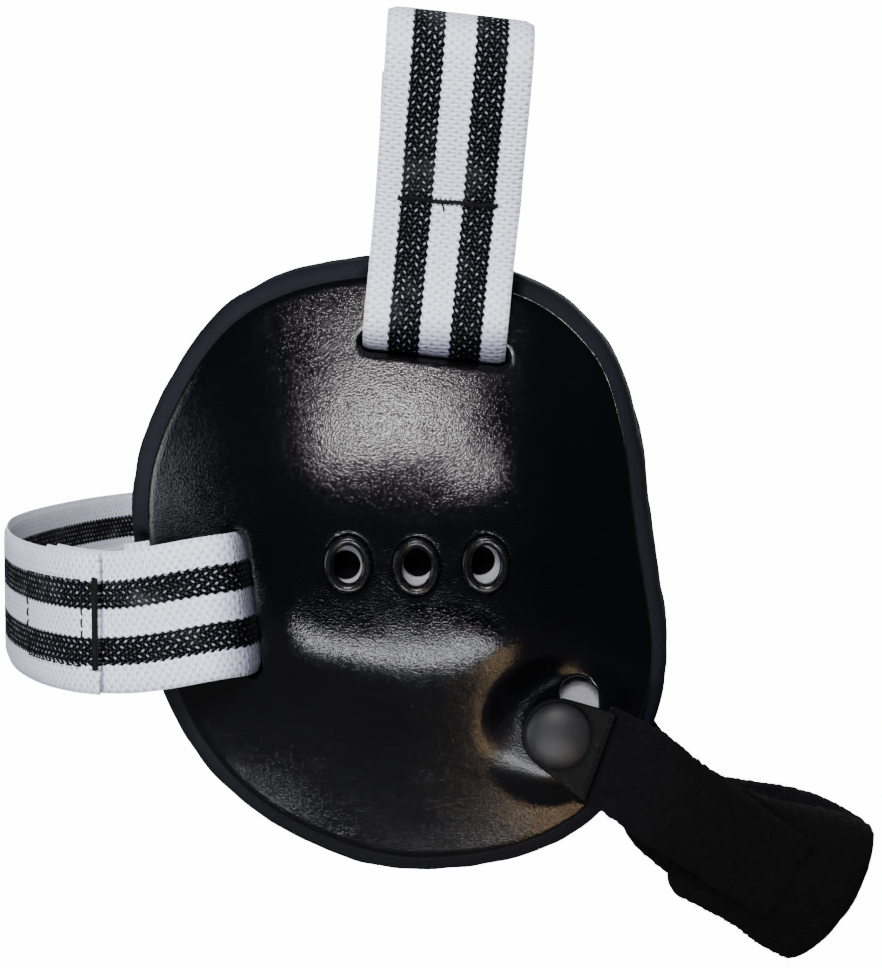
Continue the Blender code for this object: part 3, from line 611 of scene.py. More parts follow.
class Graph:
    """A material and short calls that add nodes to it. at is the attribute that its patterns follow."""

    def __init__(self, name, attribute="rest_mm"):
        self.material = bpy.data.materials.new(name)
        self.material.use_nodes = True
        self.tree = self.material.node_tree
        self.shader = self.tree.nodes["Principled BSDF"]
        self.at = self.attribute(attribute, "Vector")

    def plug(self, socket, value):
        if isinstance(value, Value):
            self.tree.links.new(value.socket, socket)
        else:
            socket.default_value = value

    def add(self, kind, output=0, inputs=None, **settings):
        """One output of a new node."""
        node = self.tree.nodes.new("ShaderNode" + kind)
        for key, value in settings.items():
            setattr(node, key, value)
        for key, value in (inputs or {}).items():
            self.plug(node.inputs[key], value)
        return Value(self, node.outputs[output])

    def math(self, operation, *values):
        return self.add("Math", 0, dict(enumerate(values)), operation=operation)

    def vector(self, operation, output, a, b):
        return self.add("VectorMath", output, {0: a, 1: b}, operation=operation)

    def attribute(self, name, output):
        return self.add("Attribute", output, attribute_name=name)

    def split(self, vector):
        node = self.add("SeparateXYZ", 0, {"Vector": vector}).socket.node
        return [Value(self, node.outputs[axis]) for axis in "XYZ"]

    def join(self, x, y, z):
        return self.add("CombineXYZ", 0, {"X": x, "Y": y, "Z": z})

    def noise(self, vector, scale, detail=3.0, roughness=0.55, distortion=0.0):
        return self.add("TexNoise", "Fac", {
            "Vector": vector, "Scale": scale, "Detail": detail, "Roughness": roughness,
            "Distortion": distortion,
        })

    def voronoi(self, vector, scale, randomness=1.0):
        inputs = {"Vector": vector, "Scale": scale, "Randomness": randomness}
        return self.add("TexVoronoi", "Distance", inputs)

    def span(self, value, low, high, to_low=0.0, to_high=1.0):
        """value, carried smoothly from low and high to to_low and to_high."""
        return self.add("MapRange", "Result", {
            "Value": value, "From Min": low, "From Max": high, "To Min": to_low, "To Max": to_high,
        }, interpolation_type="SMOOTHSTEP")

    def mix(self, share, a, b, blend="MIX"):
        a, b = ((*c, 1.0) if isinstance(c, tuple) else c for c in (a, b))
        return self.add("Mix", 2, {0: share, 6: a, 7: b}, data_type="RGBA", blend_type=blend)

    def bump(self, height, distance, strength=1.0, under=None):
        inputs = {"Height": height, "Distance": distance, "Strength": strength}
        if under is not None:
            inputs["Normal"] = under
        return self.add("Bump", "Normal", inputs)

    def finish(self, colour, roughness, normal=None, **constants):
        self.plug(self.shader.inputs["Base Color"], colour)
        self.plug(self.shader.inputs["Roughness"], roughness)
        if normal is not None:
            self.plug(self.shader.inputs["Normal"], normal)
        for key, value in constants.items():
            self.shader.inputs[key.replace("_", " ")].default_value = value
        return self.material


def shell_material():
    """Black pebbled skin with faint scuffs, duller in the hollow round the snap."""
    g = Graph("shell_skin")
    normal = g.bump(g.noise(g.at, 0.09, 2.0, 0.5), 0.4 * MM, 0.5)
    grain = g.voronoi(g.at, 3.0) * 0.7 + g.noise(g.at, 3.1, 2.0, 0.6) * 0.9
    normal = g.bump(grain, 0.042 * MM, 1.0, normal)
    haze = g.noise(g.at, 0.05, 4.0, 0.6)
    drawn_out = g.vector("MULTIPLY", 0, g.at, (0.5, 0.5, 2.6))
    scuffs = g.span(g.noise(drawn_out, 0.35, 5.0, 0.65), 0.66, 0.78)
    colour = g.mix(haze, (0.0008, 0.0009, 0.0013), (0.0016, 0.0017, 0.0024))
    colour = g.mix(scuffs * 0.35, colour, (0.008, 0.008, 0.010))
    flat = g.vector("MULTIPLY", 0, g.at, (1.0, 0.0, 1.0))
    from_snap = g.vector("DISTANCE", "Value", flat, (SNAP[0], 0.0, SNAP[1]))
    roughness = g.span(haze, 0.3, 0.7, 0.11, 0.16) + scuffs * 0.12
    roughness = roughness + g.span(from_snap, 9.0, 15.0, 0.10, 0.0)
    return g.finish(colour, roughness, normal, Specular_IOR_Level=0.5)


def pad_material():
    """Dark grey closed-cell foam."""
    g = Graph("pad_foam")
    pores = g.span(g.voronoi(g.at, 2.2), 0.0, 0.35)
    tone = g.noise(g.at, 0.07, 4.0)
    colour = g.mix(tone, (0.0045, 0.0048, 0.0078), (0.0095, 0.0100, 0.0155))
    colour = g.mix(g.math("SUBTRACT", 1.0, pores) * 0.5, colour, (0.003, 0.003, 0.0045))
    height = pores * 0.5 + g.noise(g.at, 0.22, 3.0) * 0.8
    return g.finish(colour, g.span(tone, 0.3, 0.7, 0.62, 0.8), g.bump(height, 0.12 * MM, 0.9),
                    Specular_IOR_Level=0.2)


def liner_material():
    """Pale grey open-cell foam."""
    g = Graph("liner_foam")
    cells = g.voronoi(g.at, 1.7)
    colour = g.mix(g.noise(g.at, 0.2, 4.0), (0.162, 0.162, 0.189), (0.225, 0.225, 0.257))
    colour = g.mix(g.span(cells, 0.05, 0.3, 0.35, 0.0), colour, (0.081, 0.081, 0.095))
    return g.finish(colour, 0.9, g.bump(cells, 0.15 * MM, 0.8))


def enamel_material(name, low, high, roughness, chips):
    """Black enamel on metal. chips is how far the bare metal shows in its worn spots."""
    g = Graph(name)
    tone = g.noise(g.at, 0.6, 4.0)
    worn = g.span(g.noise(g.at, 1.7, 5.0, 0.7), 0.64, 0.72) * chips
    colour = g.mix(worn, g.mix(tone, low, high), (0.05, 0.05, 0.053))
    rough = g.span(tone, 0.3, 0.7, roughness - 0.04, roughness + 0.06) + worn * 0.2
    return g.finish(colour, rough, g.bump(g.noise(g.at, 2.5, 3.0), 0.03 * MM, 0.6))


def steel_material():
    g = Graph("snap_steel")
    tone = g.noise(g.at, 0.8, 5.0, 0.6)
    return g.finish(g.mix(tone, (0.30, 0.30, 0.31), (0.55, 0.55, 0.56)), g.span(tone, 0.3, 0.7, 0.22, 0.4),
                    g.bump(tone, 0.02 * MM, 0.6), Metallic=1.0)


def webbing_material(name, stripe):
    """White elastic webbing with two black stripes of staggered picks. stripe holds a stripe's inner and
    outer distance from the middle."""
    g = Graph(name, "weave_mm")
    x, y, _ = g.split(g.at)

    def noise(layer, *settings):
        return g.noise(g.join(x, y, layer), *settings)

    def dot(across, along, low, high):
        return g.span(g.math("SQRT", across * across + along * along * 0.5), low, high, 1.0, 0.0)

    wobble = noise(3.0, 0.5, 3.0, 0.6) - 0.5
    column = x / WEAVE_COLUMN + wobble * 0.45
    row = y / WEAVE_ROW + wobble * 0.40
    odd = g.math("MODULO", g.math("ABSOLUTE", g.math("FLOOR", column)), 2.0)
    staggered = row + odd * 0.5
    dy = (g.math("FRACT", staggered) - 0.5) * WEAVE_ROW
    dx = (g.math("FRACT", column) - 0.5) * WEAVE_COLUMN + dy * (odd * 0.9 - 0.45)
    between = g.math("SUBTRACT", WEAVE_ROW / 2, g.math("ABSOLUTE", dy))
    pick = dot(dx, dy, 0.08, 0.29)
    cell = g.join(g.math("FLOOR", column), g.math("FLOOR", staggered), 1.0)
    yarn = g.add("TexWhiteNoise", "Value", {"Vector": cell}, noise_dimensions="3D")
    # stripes, with a ragged edge where the picks turn
    distance = g.math("ABSOLUTE", x) + g.math("SINE", row * (2 * math.pi)) * 0.16
    inner = g.span(distance, stripe[0] - 0.12, stripe[0] + 0.12)
    outer = g.span(distance, stripe[1] - 0.12, stripe[1] + 0.12, 1.0, 0.0)
    # white ground
    rib = g.math("COSINE", row * (4 * math.pi))
    fine = noise(5.0, 1.9, 3.0, 0.7)
    ground = g.mix(noise(9.0, 0.12, 3.0), (0.50, 0.51, 0.66), (0.60, 0.61, 0.74))
    ground = g.mix(g.span(fine, 0.35, 0.75, 0.0, 0.45), ground, (0.78, 0.79, 0.92))
    ground = g.mix(g.span(rib, -1.0, 0.2, 0.16, 0.0), ground, (0.30, 0.31, 0.42))
    ground = g.mix(dot(dx, dy, 0.10, 0.32) * g.span(yarn, 0.0, 1.0, 0.25, 0.65), ground, (0.24, 0.24, 0.34))
    ground = g.mix(dot(dx, between, 0.10, 0.36) * 0.6, ground, (0.90, 0.91, 1.0))
    # black yarns, with white picks that show between them
    dark = g.mix(fine, (0.0006, 0.0006, 0.0010), (0.0025, 0.0025, 0.0038))
    bright = pick * g.span(yarn, 0.0, 1.0, 0.15, 0.9) + dot(dx, between, 0.04, 0.18) * 0.16
    colour = g.mix(inner * outer, ground, g.mix(bright, dark, (0.30, 0.31, 0.37)))
    # selvedge, soil, and painted shade where the webbing turns into its slots
    colour = g.mix(g.span(g.math("ABSOLUTE", x), 12.0, 12.6, 0.0, 0.25), colour, (0.33, 0.34, 0.42))
    colour = g.mix(g.span(noise(2.0, 0.05, 5.0, 0.6), 0.5, 0.8, 0.0, 0.16), colour, (0.30, 0.31, 0.34))
    # painted shade: darkens the webbing where it turns into a slot
    slot_shade = g.attribute("slot_shade", "Fac") * g.span(fine, 0.2, 0.8, 0.75, 1.0)
    colour = g.mix(slot_shade, colour, (0.15, 0.15, 0.18), "MULTIPLY")
    height = pick * 0.8 + rib * 0.25 + fine * 0.35
    return g.finish(colour, g.span(fine, 0.2, 0.8, 0.7, 0.9), g.bump(height, 0.16 * MM, 0.9),
                    Specular_IOR_Level=0.03)


def nap_material(name, low, high, grain, sheen):
    """Black brushed tape: matted loops with a soft sheen."""
    g = Graph(name)
    fine = g.noise(g.at, grain, 5.0, 0.75, 1.2)
    clumps = g.noise(g.at, 0.35, 4.0, 0.65, 0.8)
    colour = g.mix(g.span(fine, 0.3, 0.75), low, high)
    colour = g.mix(g.span(clumps, 0.5, 0.8, 0.0, 0.5), colour, tuple(2.0 * c for c in high))
    height = fine + clumps * 0.8 + g.voronoi(g.at, 1.3) * 0.5
    return g.finish(colour, g.span(fine, 0.3, 0.7, 0.85, 1.0), g.bump(height, 0.35 * MM, 1.0),
                    Sheen_Weight=sheen, Sheen_Roughness=0.6, Specular_IOR_Level=0.05)


def hook_material():
    """Rows of small stiff hooks."""
    g = Graph("hook_tape", "weave_mm")
    hooks = g.span(g.voronoi(g.at, 0.9, 0.25), 0.1, 0.4, 1.0, 0.0)
    return g.finish(g.mix(hooks, (0.004, 0.004, 0.005), (0.035, 0.035, 0.04)), 0.45,
                    g.bump(hooks, 0.3 * MM, 1.0))


def tab_material():
    """Smooth coated webbing."""
    g = Graph("tab_webbing")
    fine = g.noise(g.at, 1.4, 4.0, 0.65)
    u, _, w = g.split(g.at)
    weave = g.math("SINE", w * (2 * math.pi / 0.9)) * g.math("SINE", u * (2 * math.pi / 0.9))
    colour = g.mix(fine, (0.0006, 0.0006, 0.0008), (0.0018, 0.0018, 0.0023))
    return g.finish(colour, g.span(fine, 0.3, 0.7, 0.5, 0.7), g.bump(weave * 0.35 + fine, 0.08 * MM, 0.8),
                    Specular_IOR_Level=0.15)


def thread_material():
    g = Graph("thread")
    u, _, w = g.split(g.at)
    twist = g.math("SINE", (u + w) * (2 * math.pi / 0.32))
    colour = g.mix(g.span(twist, -1.0, 1.0), (0.0008, 0.0008, 0.001), (0.004, 0.004, 0.005))
    return g.finish(colour, 0.6, g.bump(twist, 0.05 * MM, 0.8), Specular_IOR_Level=0.25)


def paint_slot_shade(obj, amounts):
    """Marks the painted shade where webbing turns into its slot, from 0 to 1 at each point."""
    slot_shade = obj.data.attributes.new("slot_shade", "FLOAT", "POINT")
    slot_shade.data.foreach_set("value", np.asarray(amounts, np.float32))


SHELL = shell_material()
PAD = pad_material()
LINER = liner_material()
EYELET = enamel_material("eyelet_enamel", (0.001, 0.001, 0.0013), (0.003, 0.003, 0.0035), 0.24, 0.15)
CAP = enamel_material("cap_enamel", (0.006, 0.006, 0.007), (0.012, 0.012, 0.0135), 0.50, 0.3)
STEEL = steel_material()
CROWN_WEB = webbing_material("crown_webbing", (2.7, 8.3))
BACK_WEB = webbing_material("back_webbing", (2.54, 7.62))
NAP = nap_material("loop_tape", (0.0006, 0.0005, 0.0009), (0.0026, 0.0023, 0.0038), 2.4, 0.02)
HOOK = hook_material()
TAB = tab_material()
THREAD = thread_material()


def stands_for(obj, slot, body, *nodes):
    """Hides the CAD nodes that the piece stands for and parents it to a body's empty; for a blend of two bodies
    its transform is only baked in place.
    """
    if nodes:
        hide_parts(*nodes)
    if isinstance(body, str):
        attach(obj, body)
    else:
        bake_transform(obj)
    return obj


def point(side, u, h, w):
    return tuple(place(side, (u, h, w)))


# ---------------------------------------------------------------- ear cups
def vent_seat(middle):
    around = [(middle[0] + du, middle[1] + dw) for du in (-4.9, 0.0, 4.9) for dw in (-6.0, 0.0, 6.0)]
    return float(shell_height(around).max()) + GAP


def make_shell(side, name):
    narrow = {"half_width": SLOT_HALF_WIDTH, "half_length": 13.4}
    holes = [
        stadium({**CROWN_SLOT, **narrow, "middle": (6.2, 38.3)}), stadium({**BACK_SLOT, **narrow}),
        stadium(CHIN_SLOT), oval(CHIN_SLOT_EYE, (3.1, 3.1)),
    ]
    holes += [oval(middle, (VENT_HALF[0] + 0.75, VENT_HALF[1] + 0.75)) for middle in VENT_MIDDLES]
    holes.append(oval(SNAP, (1.3, 1.3), 20))

    def top(p):
        uhw = np.column_stack([p[:, 0], np.zeros(len(p)), p[:, 1]])
        return shell_height(p) + 0.10 * wave(uhw, 28, 3)

    def bottom(p):
        return np.maximum(shell_height(p) - SHELL_WALL, SHELL_SEAT + 0.3)

    obj = plate(f"{name}_shell_skin", side, outline_shape(shell_radius), holes, top, bottom, SHELL, roll=0.8)
    return stands_for(obj, "shell_skin", f"{name}_cup", f"{name}_shell")


def make_liner(side, name):
    holes = [
        oval((m[0] + s[0], m[1] + s[1]), (LINER_HOLE_RADIUS,) * 2, 32)
        for m, s in zip(VENT_MIDDLES, LINER_HOLE_SHIFTS, strict=True)
    ]
    holes += [CROWN_CHANNEL, BACK_CHANNEL, oval(SNAP, (4.2, 4.2), 32)]

    def top(p):
        return np.maximum(shell_height(p) - LINER_DROP, SHELL_SEAT + 0.4 + LINER_THICK)

    def bottom(p):
        return np.maximum(shell_height(p) - LINER_DROP - LINER_THICK, SHELL_SEAT + 0.4)

    outline = outline_shape(shell_radius, LINER_REACH)
    obj = plate(f"{name}_liner_foam", side, outline, holes, top, bottom, LINER, roll=0.4, spacing=1.6)
    return stands_for(obj, "liner_foam", f"{name}_cup", f"{name}_liner")


def make_vent_shade_sheet(side, name):
    """A black sheet behind the liner's holes: painted shade that stands in for the dark inside of the cup."""
    def top(p):
        return np.maximum(shell_height(p) - LINER_DROP - LINER_THICK, SHELL_SEAT + 0.4) - 0.25

    def bottom(p):
        return top(p) - 0.6

    outline = oval((3.1, 0.5), (20.0, 11.0), 90)
    obj = plate(f"{name}_vent_shade_sheet", side, outline, [], top, bottom, NAP, roll=0.25, spacing=1.5)
    return stands_for(obj, "liner_foam", f"{name}_cup")


def make_ear_pad(side, name):
    """A foam ring of two bonded layers, with soft edges and a groove where they meet."""
    count = 280
    outer = rim_radius(loop_angles(count))

    def ring_out(inset, height):
        return hoop((0, 0), (outer - inset,) * 2, height, count)

    def ring_in(extra, height):
        return hoop(EAR_OPENING_MIDDLE, [half + extra for half in EAR_OPENING], height, count)

    outside = catmull((
        (8.0, 0.0), (5.2, 0.0), (3.4, 0.35), (1.5, 1.5), (0.5, 3.2), (0.1, 5.2), (0.0, 7.2), (0.25, 8.6),
        (0.95, 9.3), (0.4, 10.0), (0.7, 11.6), (1.6, 13.0), (2.8, 13.8), (3.8, PAD_THICK), (6.5, PAD_THICK),
    ), 44)
    inside = catmull((
        (4.5, PAD_THICK), (2.2, PAD_THICK - 0.1), (0.5, PAD_THICK - 1.2), (0.0, PAD_THICK - 3.0), (0.0, 8.0),
        (0.3, 4.0), (1.2, 1.6), (3.0, 0.3), (5.5, 0.0),
    ), 26)
    rings = [ring_out(i, h) for i, h in outside]
    rings += [0.5 * (rings[-1] + ring_in(4.5, PAD_THICK))]
    rings += [ring_in(e, h) for e, h in inside]
    rings += [0.5 * (rings[-1] + rings[0])]
    rings = np.array(rings)
    flat = rings.reshape(-1, 3)
    dip = np.zeros(len(flat))
    for distance, _ in (CROWN_CHANNEL, BACK_CHANNEL):
        dip = np.maximum(dip, smooth(-distance(flat[:, [0, 2]]) / 0.9 + 0.3))
    flat[:, 1] = np.where(flat[:, 1] > 10.4, flat[:, 1] - dip * (flat[:, 1] - 10.4) * 0.92, flat[:, 1])
    ripple = 0.16 * wave(flat, 16, 11) + 0.10 * wave(flat, 6, 12)
    free = smooth(flat[:, 1] / 3.0) * smooth((PAD_THICK - flat[:, 1]) / 2.5)
    radial = unit(flat * (1, 0, 1))
    flat += radial * (ripple * free)[:, None]
    obj = ringed(f"{name}_ear_pad_foam", side, list(flat.reshape(rings.shape)), PAD)
    return stands_for(obj, "pad_foam", f"{name}_cup", f"{name}_ear_pad")


def make_eyelets(side, name):
    for index, middle in enumerate(VENT_MIDDLES, start=1):
        seat = vent_seat(middle)
        back = seat - SHELL_WALL - 1.1
        profile = catmull((
            (-0.3, back), (-0.45, seat - 1.0), (-0.45, seat + 0.1), (-0.2, seat + 0.55), (0.4, seat + 0.85),
            (0.9, seat + 0.72), (1.15, seat + 0.38), (1.2, seat + 0.02), (0.8, seat - 0.05),
            (0.46, seat - 0.3), (0.44, back + 0.3), (0.3, back),
        ), 30)
        rings = [
            hoop(middle, (VENT_HALF[0] + off, VENT_HALF[1] - EYELET_FLAT + off), h, 64) for off, h in profile
        ]
        obj = ringed(f"{name}_vent_ring_{index}", side, rings, EYELET)
        stands_for(obj, "eyelet_enamel", f"{name}_cup", f"{name}_vent_eyelet_{index}")


def make_snap(side, name):
    cup, snap = f"{name}_cup", f"{name}_snap"
    stud = catmull((
        (3.4, SNAP_BASE), (3.4, SNAP_BASE + 0.3), (2.9, SNAP_BASE + 0.55), (1.75, SNAP_BASE + 0.75),
        (1.6, SNAP_BASE + 1.2), (1.9, SNAP_BASE + 1.6), (1.75, SNAP_BASE + 1.95), (0.9, SNAP_BASE + 2.1),
    ), 26)
    stands_for(turned(f"{name}_stud", side, SNAP, stud, STEEL), "snap_steel", cup, f"{name}_snap_stud")
    back = LAND - SHELL_WALL - GAP
    rivet = ((2.4, back - 0.6), (3.0, back - 0.5), (3.2, back - 0.25), (3.1, back), (1.1, back + 0.1),
             (1.0, back + 0.3), (1.0, LAND))
    stands_for(turned(f"{name}_rivet", side, SNAP, rivet, STEEL), "snap_steel", cup, f"{name}_snap_rivet")
    seat, top = SNAP_BASE + 0.7, SNAP_TOP - 0.1
    socket = ((2.2, seat), (2.4, seat), (4.2, seat), (4.6, seat + 0.15), (4.8, seat + 0.5), (4.8, top - 0.35),
              (4.6, top - 0.05), (4.3, top), (1.4, top), (1.4, top - 0.2), (2.1, top - 0.4), (2.2, top - 0.8))
    stands_for(turned(f"{name}_socket", side, SNAP, socket, STEEL, hollow=True), "snap_steel", snap,
               f"{name}_snap_socket")
    base, radius = SNAP_TOP + 1.2 + GAP, SNAP_CAP_RADIUS
    profile = [(0.9, SNAP_TOP), (0.9, base), (radius - 0.6, base), (radius - 0.15, base + 0.12)]
    profile += [
        (radius * math.cos(t), base + 0.45 + 2.65 * math.sin(t)) for t in np.radians(np.linspace(0, 84, 18))
    ]
    stands_for(turned(f"{name}_cap", side, SNAP, profile, CAP, 80), "cap_enamel", snap, f"{name}_snap_cap")


# ---------------------------------------------------------------- webbing
def web_relief(x, y):
    """The weave's height: staggered picks, fading out at the selvedge."""
    fade = smooth((12.4 - np.abs(x)) / 0.8)
    return 0.045 * np.cos(2 * math.pi * y / WEAVE_ROW) * np.cos(math.pi * x / WEAVE_COLUMN) * fade


def web_edge(y):
    return 0.05 * np.cos(4 * math.pi * y / WEAVE_ROW)


def web_steps(line):
    return max(8, int(lengths(line)[-1] / (WEAVE_ROW / 4)))


def webbing(name, side, line, across, material):
    """A length of webbing."""
    obj = ribbon(name, side, line, across, WEBBING_WIDTH, WEBBING_THICK - 0.1, material, relief=web_relief,
                 edge=web_edge)
    lengths(line)[-1] * MM
    return obj


def crown_half_line():
    leg = catmull(CROWN_TAIL + CROWN_LEG + CROWN_BEND + (CROWN_BRIDGE_START,), 400)
    bridge = [(CROWN_FORWARD, h, CROWN_BRIDGE_START[2]) for h in (6.0, -12.0, -36.0, -HALF_GAP)]
    return np.vstack([leg, bridge])


def crown_across(line):
    turn = math.radians(CROWN_SLOT["turn"])
    nearness = np.where(line[:, 2] > 90.0, smooth((32.0 - line[:, 1]) / 60.0), 0.0)[:, None]
    at_slot = np.array((math.cos(turn), 0.0, math.sin(turn)))
    return (1 - nearness) * at_slot + nearness * np.array((1.0, 0.0, 0.0))


def make_crown(side, name):
    line = crown_half_line()
    line = even(line, web_steps(line))
    across = crown_across(line)
    obj = webbing(f"crown_strap_{name}", side, line, across, CROWN_WEB)
    at, _ = surface_of(obj)
    # painted shade where the strap turns down into the crown slot
    low = 1 - smooth((at[:, 2] + CROWN_RISE - 37.5) / 7.0)
    paint_slot_shade(obj, low * smooth((np.abs(at[:, 1]) - HALF_GAP - 14) / 3))
    blend = ("harness", f"{name}_cup", point(side, 0, -HALF_GAP + 8, 0), point(side, 0, 8, 0))
    stands_for(obj, "striped_webbing", blend, "crown_strap")
    # the bar tack that closes the loop, and its loose end
    _, wide, out = frames_along(line, across)
    slot_at = int(np.argmin(line[:, 2]))
    k = slot_at + int(np.argmin(np.abs(line[slot_at:, 2] - TACK_LEVEL)))
    face = out[k] * (WEBBING_THICK / 2)
    if face[1] < 0:
        face = -face
    xs = np.linspace(-8.9, 8.9, 60)
    run = unit(np.cross(wide[k], face))
    bar = line[k] + wide[k] * xs[:, None] + face * 1.04 + np.outer(0.12 * np.sin(xs * 0.9), run)
    pieces = [tube(bar + unit(face) * 0.08, 0.34, 8)]
    zig = np.linspace(-8.7, 8.7, 43)
    for off in (-0.28, 0.28):
        turns = off + 0.22 * (-1.0) ** np.arange(43)
        wavy = line[k] + wide[k] * zig[:, None] + face * 1.12 + run * turns[:, None]
        pieces.append(tube(wavy, 0.15, 6))
    tail = catmull([line[k] + face * 1.2 + wide[k] * a - run * b + unit(face) * c for a, b, c in
                    ((-1.2, 0.0, 0.0), (-0.9, 0.5, 0.2), (-0.6, 1.1, 0.3), (-0.5, 1.7, 0.15))], 14)
    if tail[-1, 2] >= tail[0, 2]:
        tail[:, 2] = 2 * tail[0, 2] - tail[:, 2]
    pieces.append(tube(tail, 0.17, 6))
    tack = gather(f"crown_tack_{name}", side, pieces, THREAD)
    stands_for(tack, "striped_webbing", f"{name}_cup")


def flat_back_line():
    points = BACK_STRAP + ((BACK_STRAP_REAR, -HALF_GAP),)
    mirrored = points + tuple((u, -2 * HALF_GAP - h) for u, h in reversed(BACK_STRAP))
    return even(catmull(mirrored, 320), 601)


def shifted(points, distance):
    run = unit(np.gradient(points, axis=0))
    return points + distance * np.stack([-run[:, 1], run[:, 0]], axis=1)


def make_back(side, name):
    whole = flat_back_line()
    half = whole[:301]
    line = np.column_stack([half, np.full(len(half), BACK_LEVEL)])
    line = even(line, web_steps(line))
    across = np.tile(UPRIGHT, (len(line), 1))
    obj = webbing(f"back_strap_{name}", side, line, across, BACK_WEB)
    blend = ("harness", f"{name}_cup", point(side, 0, -HALF_GAP + 5, 0), point(side, 0, -6, 0))
    stands_for(obj, "striped_webbing", blend, "back_strap")
    # stitching that holds the strap to the cup's loop
    _, wide, out = frames_along(line, across)
    face = out * (WEBBING_THICK / 2 + 0.02)
    if face[5, 0] > 0:
        face = -face
    along = lengths(line)

    def on(x, start, end, count=30):
        at = np.linspace(start, end, count)
        return sample(line + face, along, at) + UPRIGHT * x, unit(sample(face, along, at))

    pieces = []
    for x in (7.75, -7.75):
        pieces += stitches(*on(x, 3.4, 24.0, 50), 2.4, 0.17)
    for y in (3.4, 24.0):
        xs = np.linspace(-7.75, 7.75, 24)
        path = np.vstack([on(x, y, y, 1)[0] for x in xs])
        normal = np.vstack([on(x, y, y, 1)[1] for x in xs])
        pieces += stitches(path, normal, 2.2, 0.17)
    xs = np.linspace(-8.3, 8.3, 67)
    for off, thick in ((0.10, 0.46), (0.70, 0.30)):
        edge = np.vstack([on(x, off + 0.10 * (k % 2), off, 1)[0] for k, x in enumerate(xs)])
        pieces.append(tube(edge + unit(face[3]) * 0.05, thick, 6))
    tack = gather(f"back_stitching_{name}", side, pieces, THREAD)
    stands_for(tack, "striped_webbing", f"{name}_cup")


def make_back_loop(side, name):
    sewn = flat_back_line()[::10][:10]
    first = [tuple(p) for p in shifted(sewn, LAYER_PITCH)]
    second = [tuple(p) for p in shifted(sewn, 2 * LAYER_PITCH)]
    front = list(reversed(BACK_LOOP_FRONT))
    behind = list(reversed(BACK_LOOP_BEHIND_SHELL))
    line = even(catmull(list(reversed(first[1::3])) + front + behind + second[1::3], 600), 600)
    nearness = smooth((line[:, 0] + 54.0) / 28.0)
    solid = np.column_stack([line, BACK_LEVEL + nearness * (BACK_SLOT["middle"][1] - BACK_LEVEL)])
    solid = even(solid, web_steps(solid))
    nearness = smooth((solid[:, 0] + 54.0) / 28.0)[:, None]
    tilt = math.radians(BACK_SLOT["turn"])
    across = (1 - nearness) * UPRIGHT + nearness * np.array((math.cos(tilt), 0.0, math.sin(tilt)))
    obj = webbing(f"{name}_back_loop_webbing", side, solid, across, BACK_WEB)
    at, _ = surface_of(obj)
    # painted shade where the loop turns into the back slot
    paint_slot_shade(obj, 1 - smooth((-26.5 - (at[:, 0] + CROWN_FORWARD)) / 8.0))
    stands_for(obj, "striped_webbing", f"{name}_cup", f"{name}_back_loop")


# ---------------------------------------------------------------- chin strap
def chin_half_line(side, count=600):
    front = (CHIN_FRONT[0], -HALF_GAP, CHIN_FRONT[1])
    far = tuple((u, -2 * HALF_GAP - h, w) for u, h, w in reversed(CHIN_LINE))
    half = even(catmull(CHIN_LINE + (front,) + far, 1200), 2 * count + 1)[: count + 1]
    if side == RIGHT:
        return half
    share = np.arange(count + 1) / count
    half[:, 2] -= CHIN_DROOP * np.sin(math.pi * share**0.7) ** 2
    return half


def chin_across(share):
    a, b = np.array(CHIN_ACROSS[0]), np.array(CHIN_ACROSS[1])
    s = smooth(np.asarray(share))[..., None]
    return unit(a + (b - a) * s)


def nap_relief(seed, size):
    def relief(x, y):
        p = np.column_stack([x.ravel(), y.ravel(), np.zeros(x.size)])
        lumps = 0.06 * wave(p, 5.0, seed) + 0.05 * wave(p, 1.9, seed + 1)
        return (size * lumps).reshape(x.shape)
    return relief


def nap_edge(seed):
    def edge(y):
        p = np.column_stack([y.ravel(), np.zeros(y.size), np.zeros(y.size)])
        return (0.14 * wave(p, 3.1, seed) + 0.10 * wave(p, 1.3, seed + 1)).reshape(y.shape)
    return edge


def surface_of(obj):
    """Points and normals of a mesh, in millimetres in the object's frame."""
    mesh = obj.data
    co = np.zeros(len(mesh.vertices) * 3)
    mesh.vertices.foreach_get("co", co)
    normal = np.zeros(len(mesh.vertices) * 3)
    mesh.vertex_normals.foreach_get("vector", normal)
    return co.reshape(-1, 3) / MM, normal.reshape(-1, 3)


def add_fibres(obj, name, count, length, thick, seed):
    """Loose fibres over a napped piece, as their own mesh."""
    verts, faces = fibres(*surface_of(obj), count, length, thick, seed)
    return build(name, verts * MM, faces, NAP)


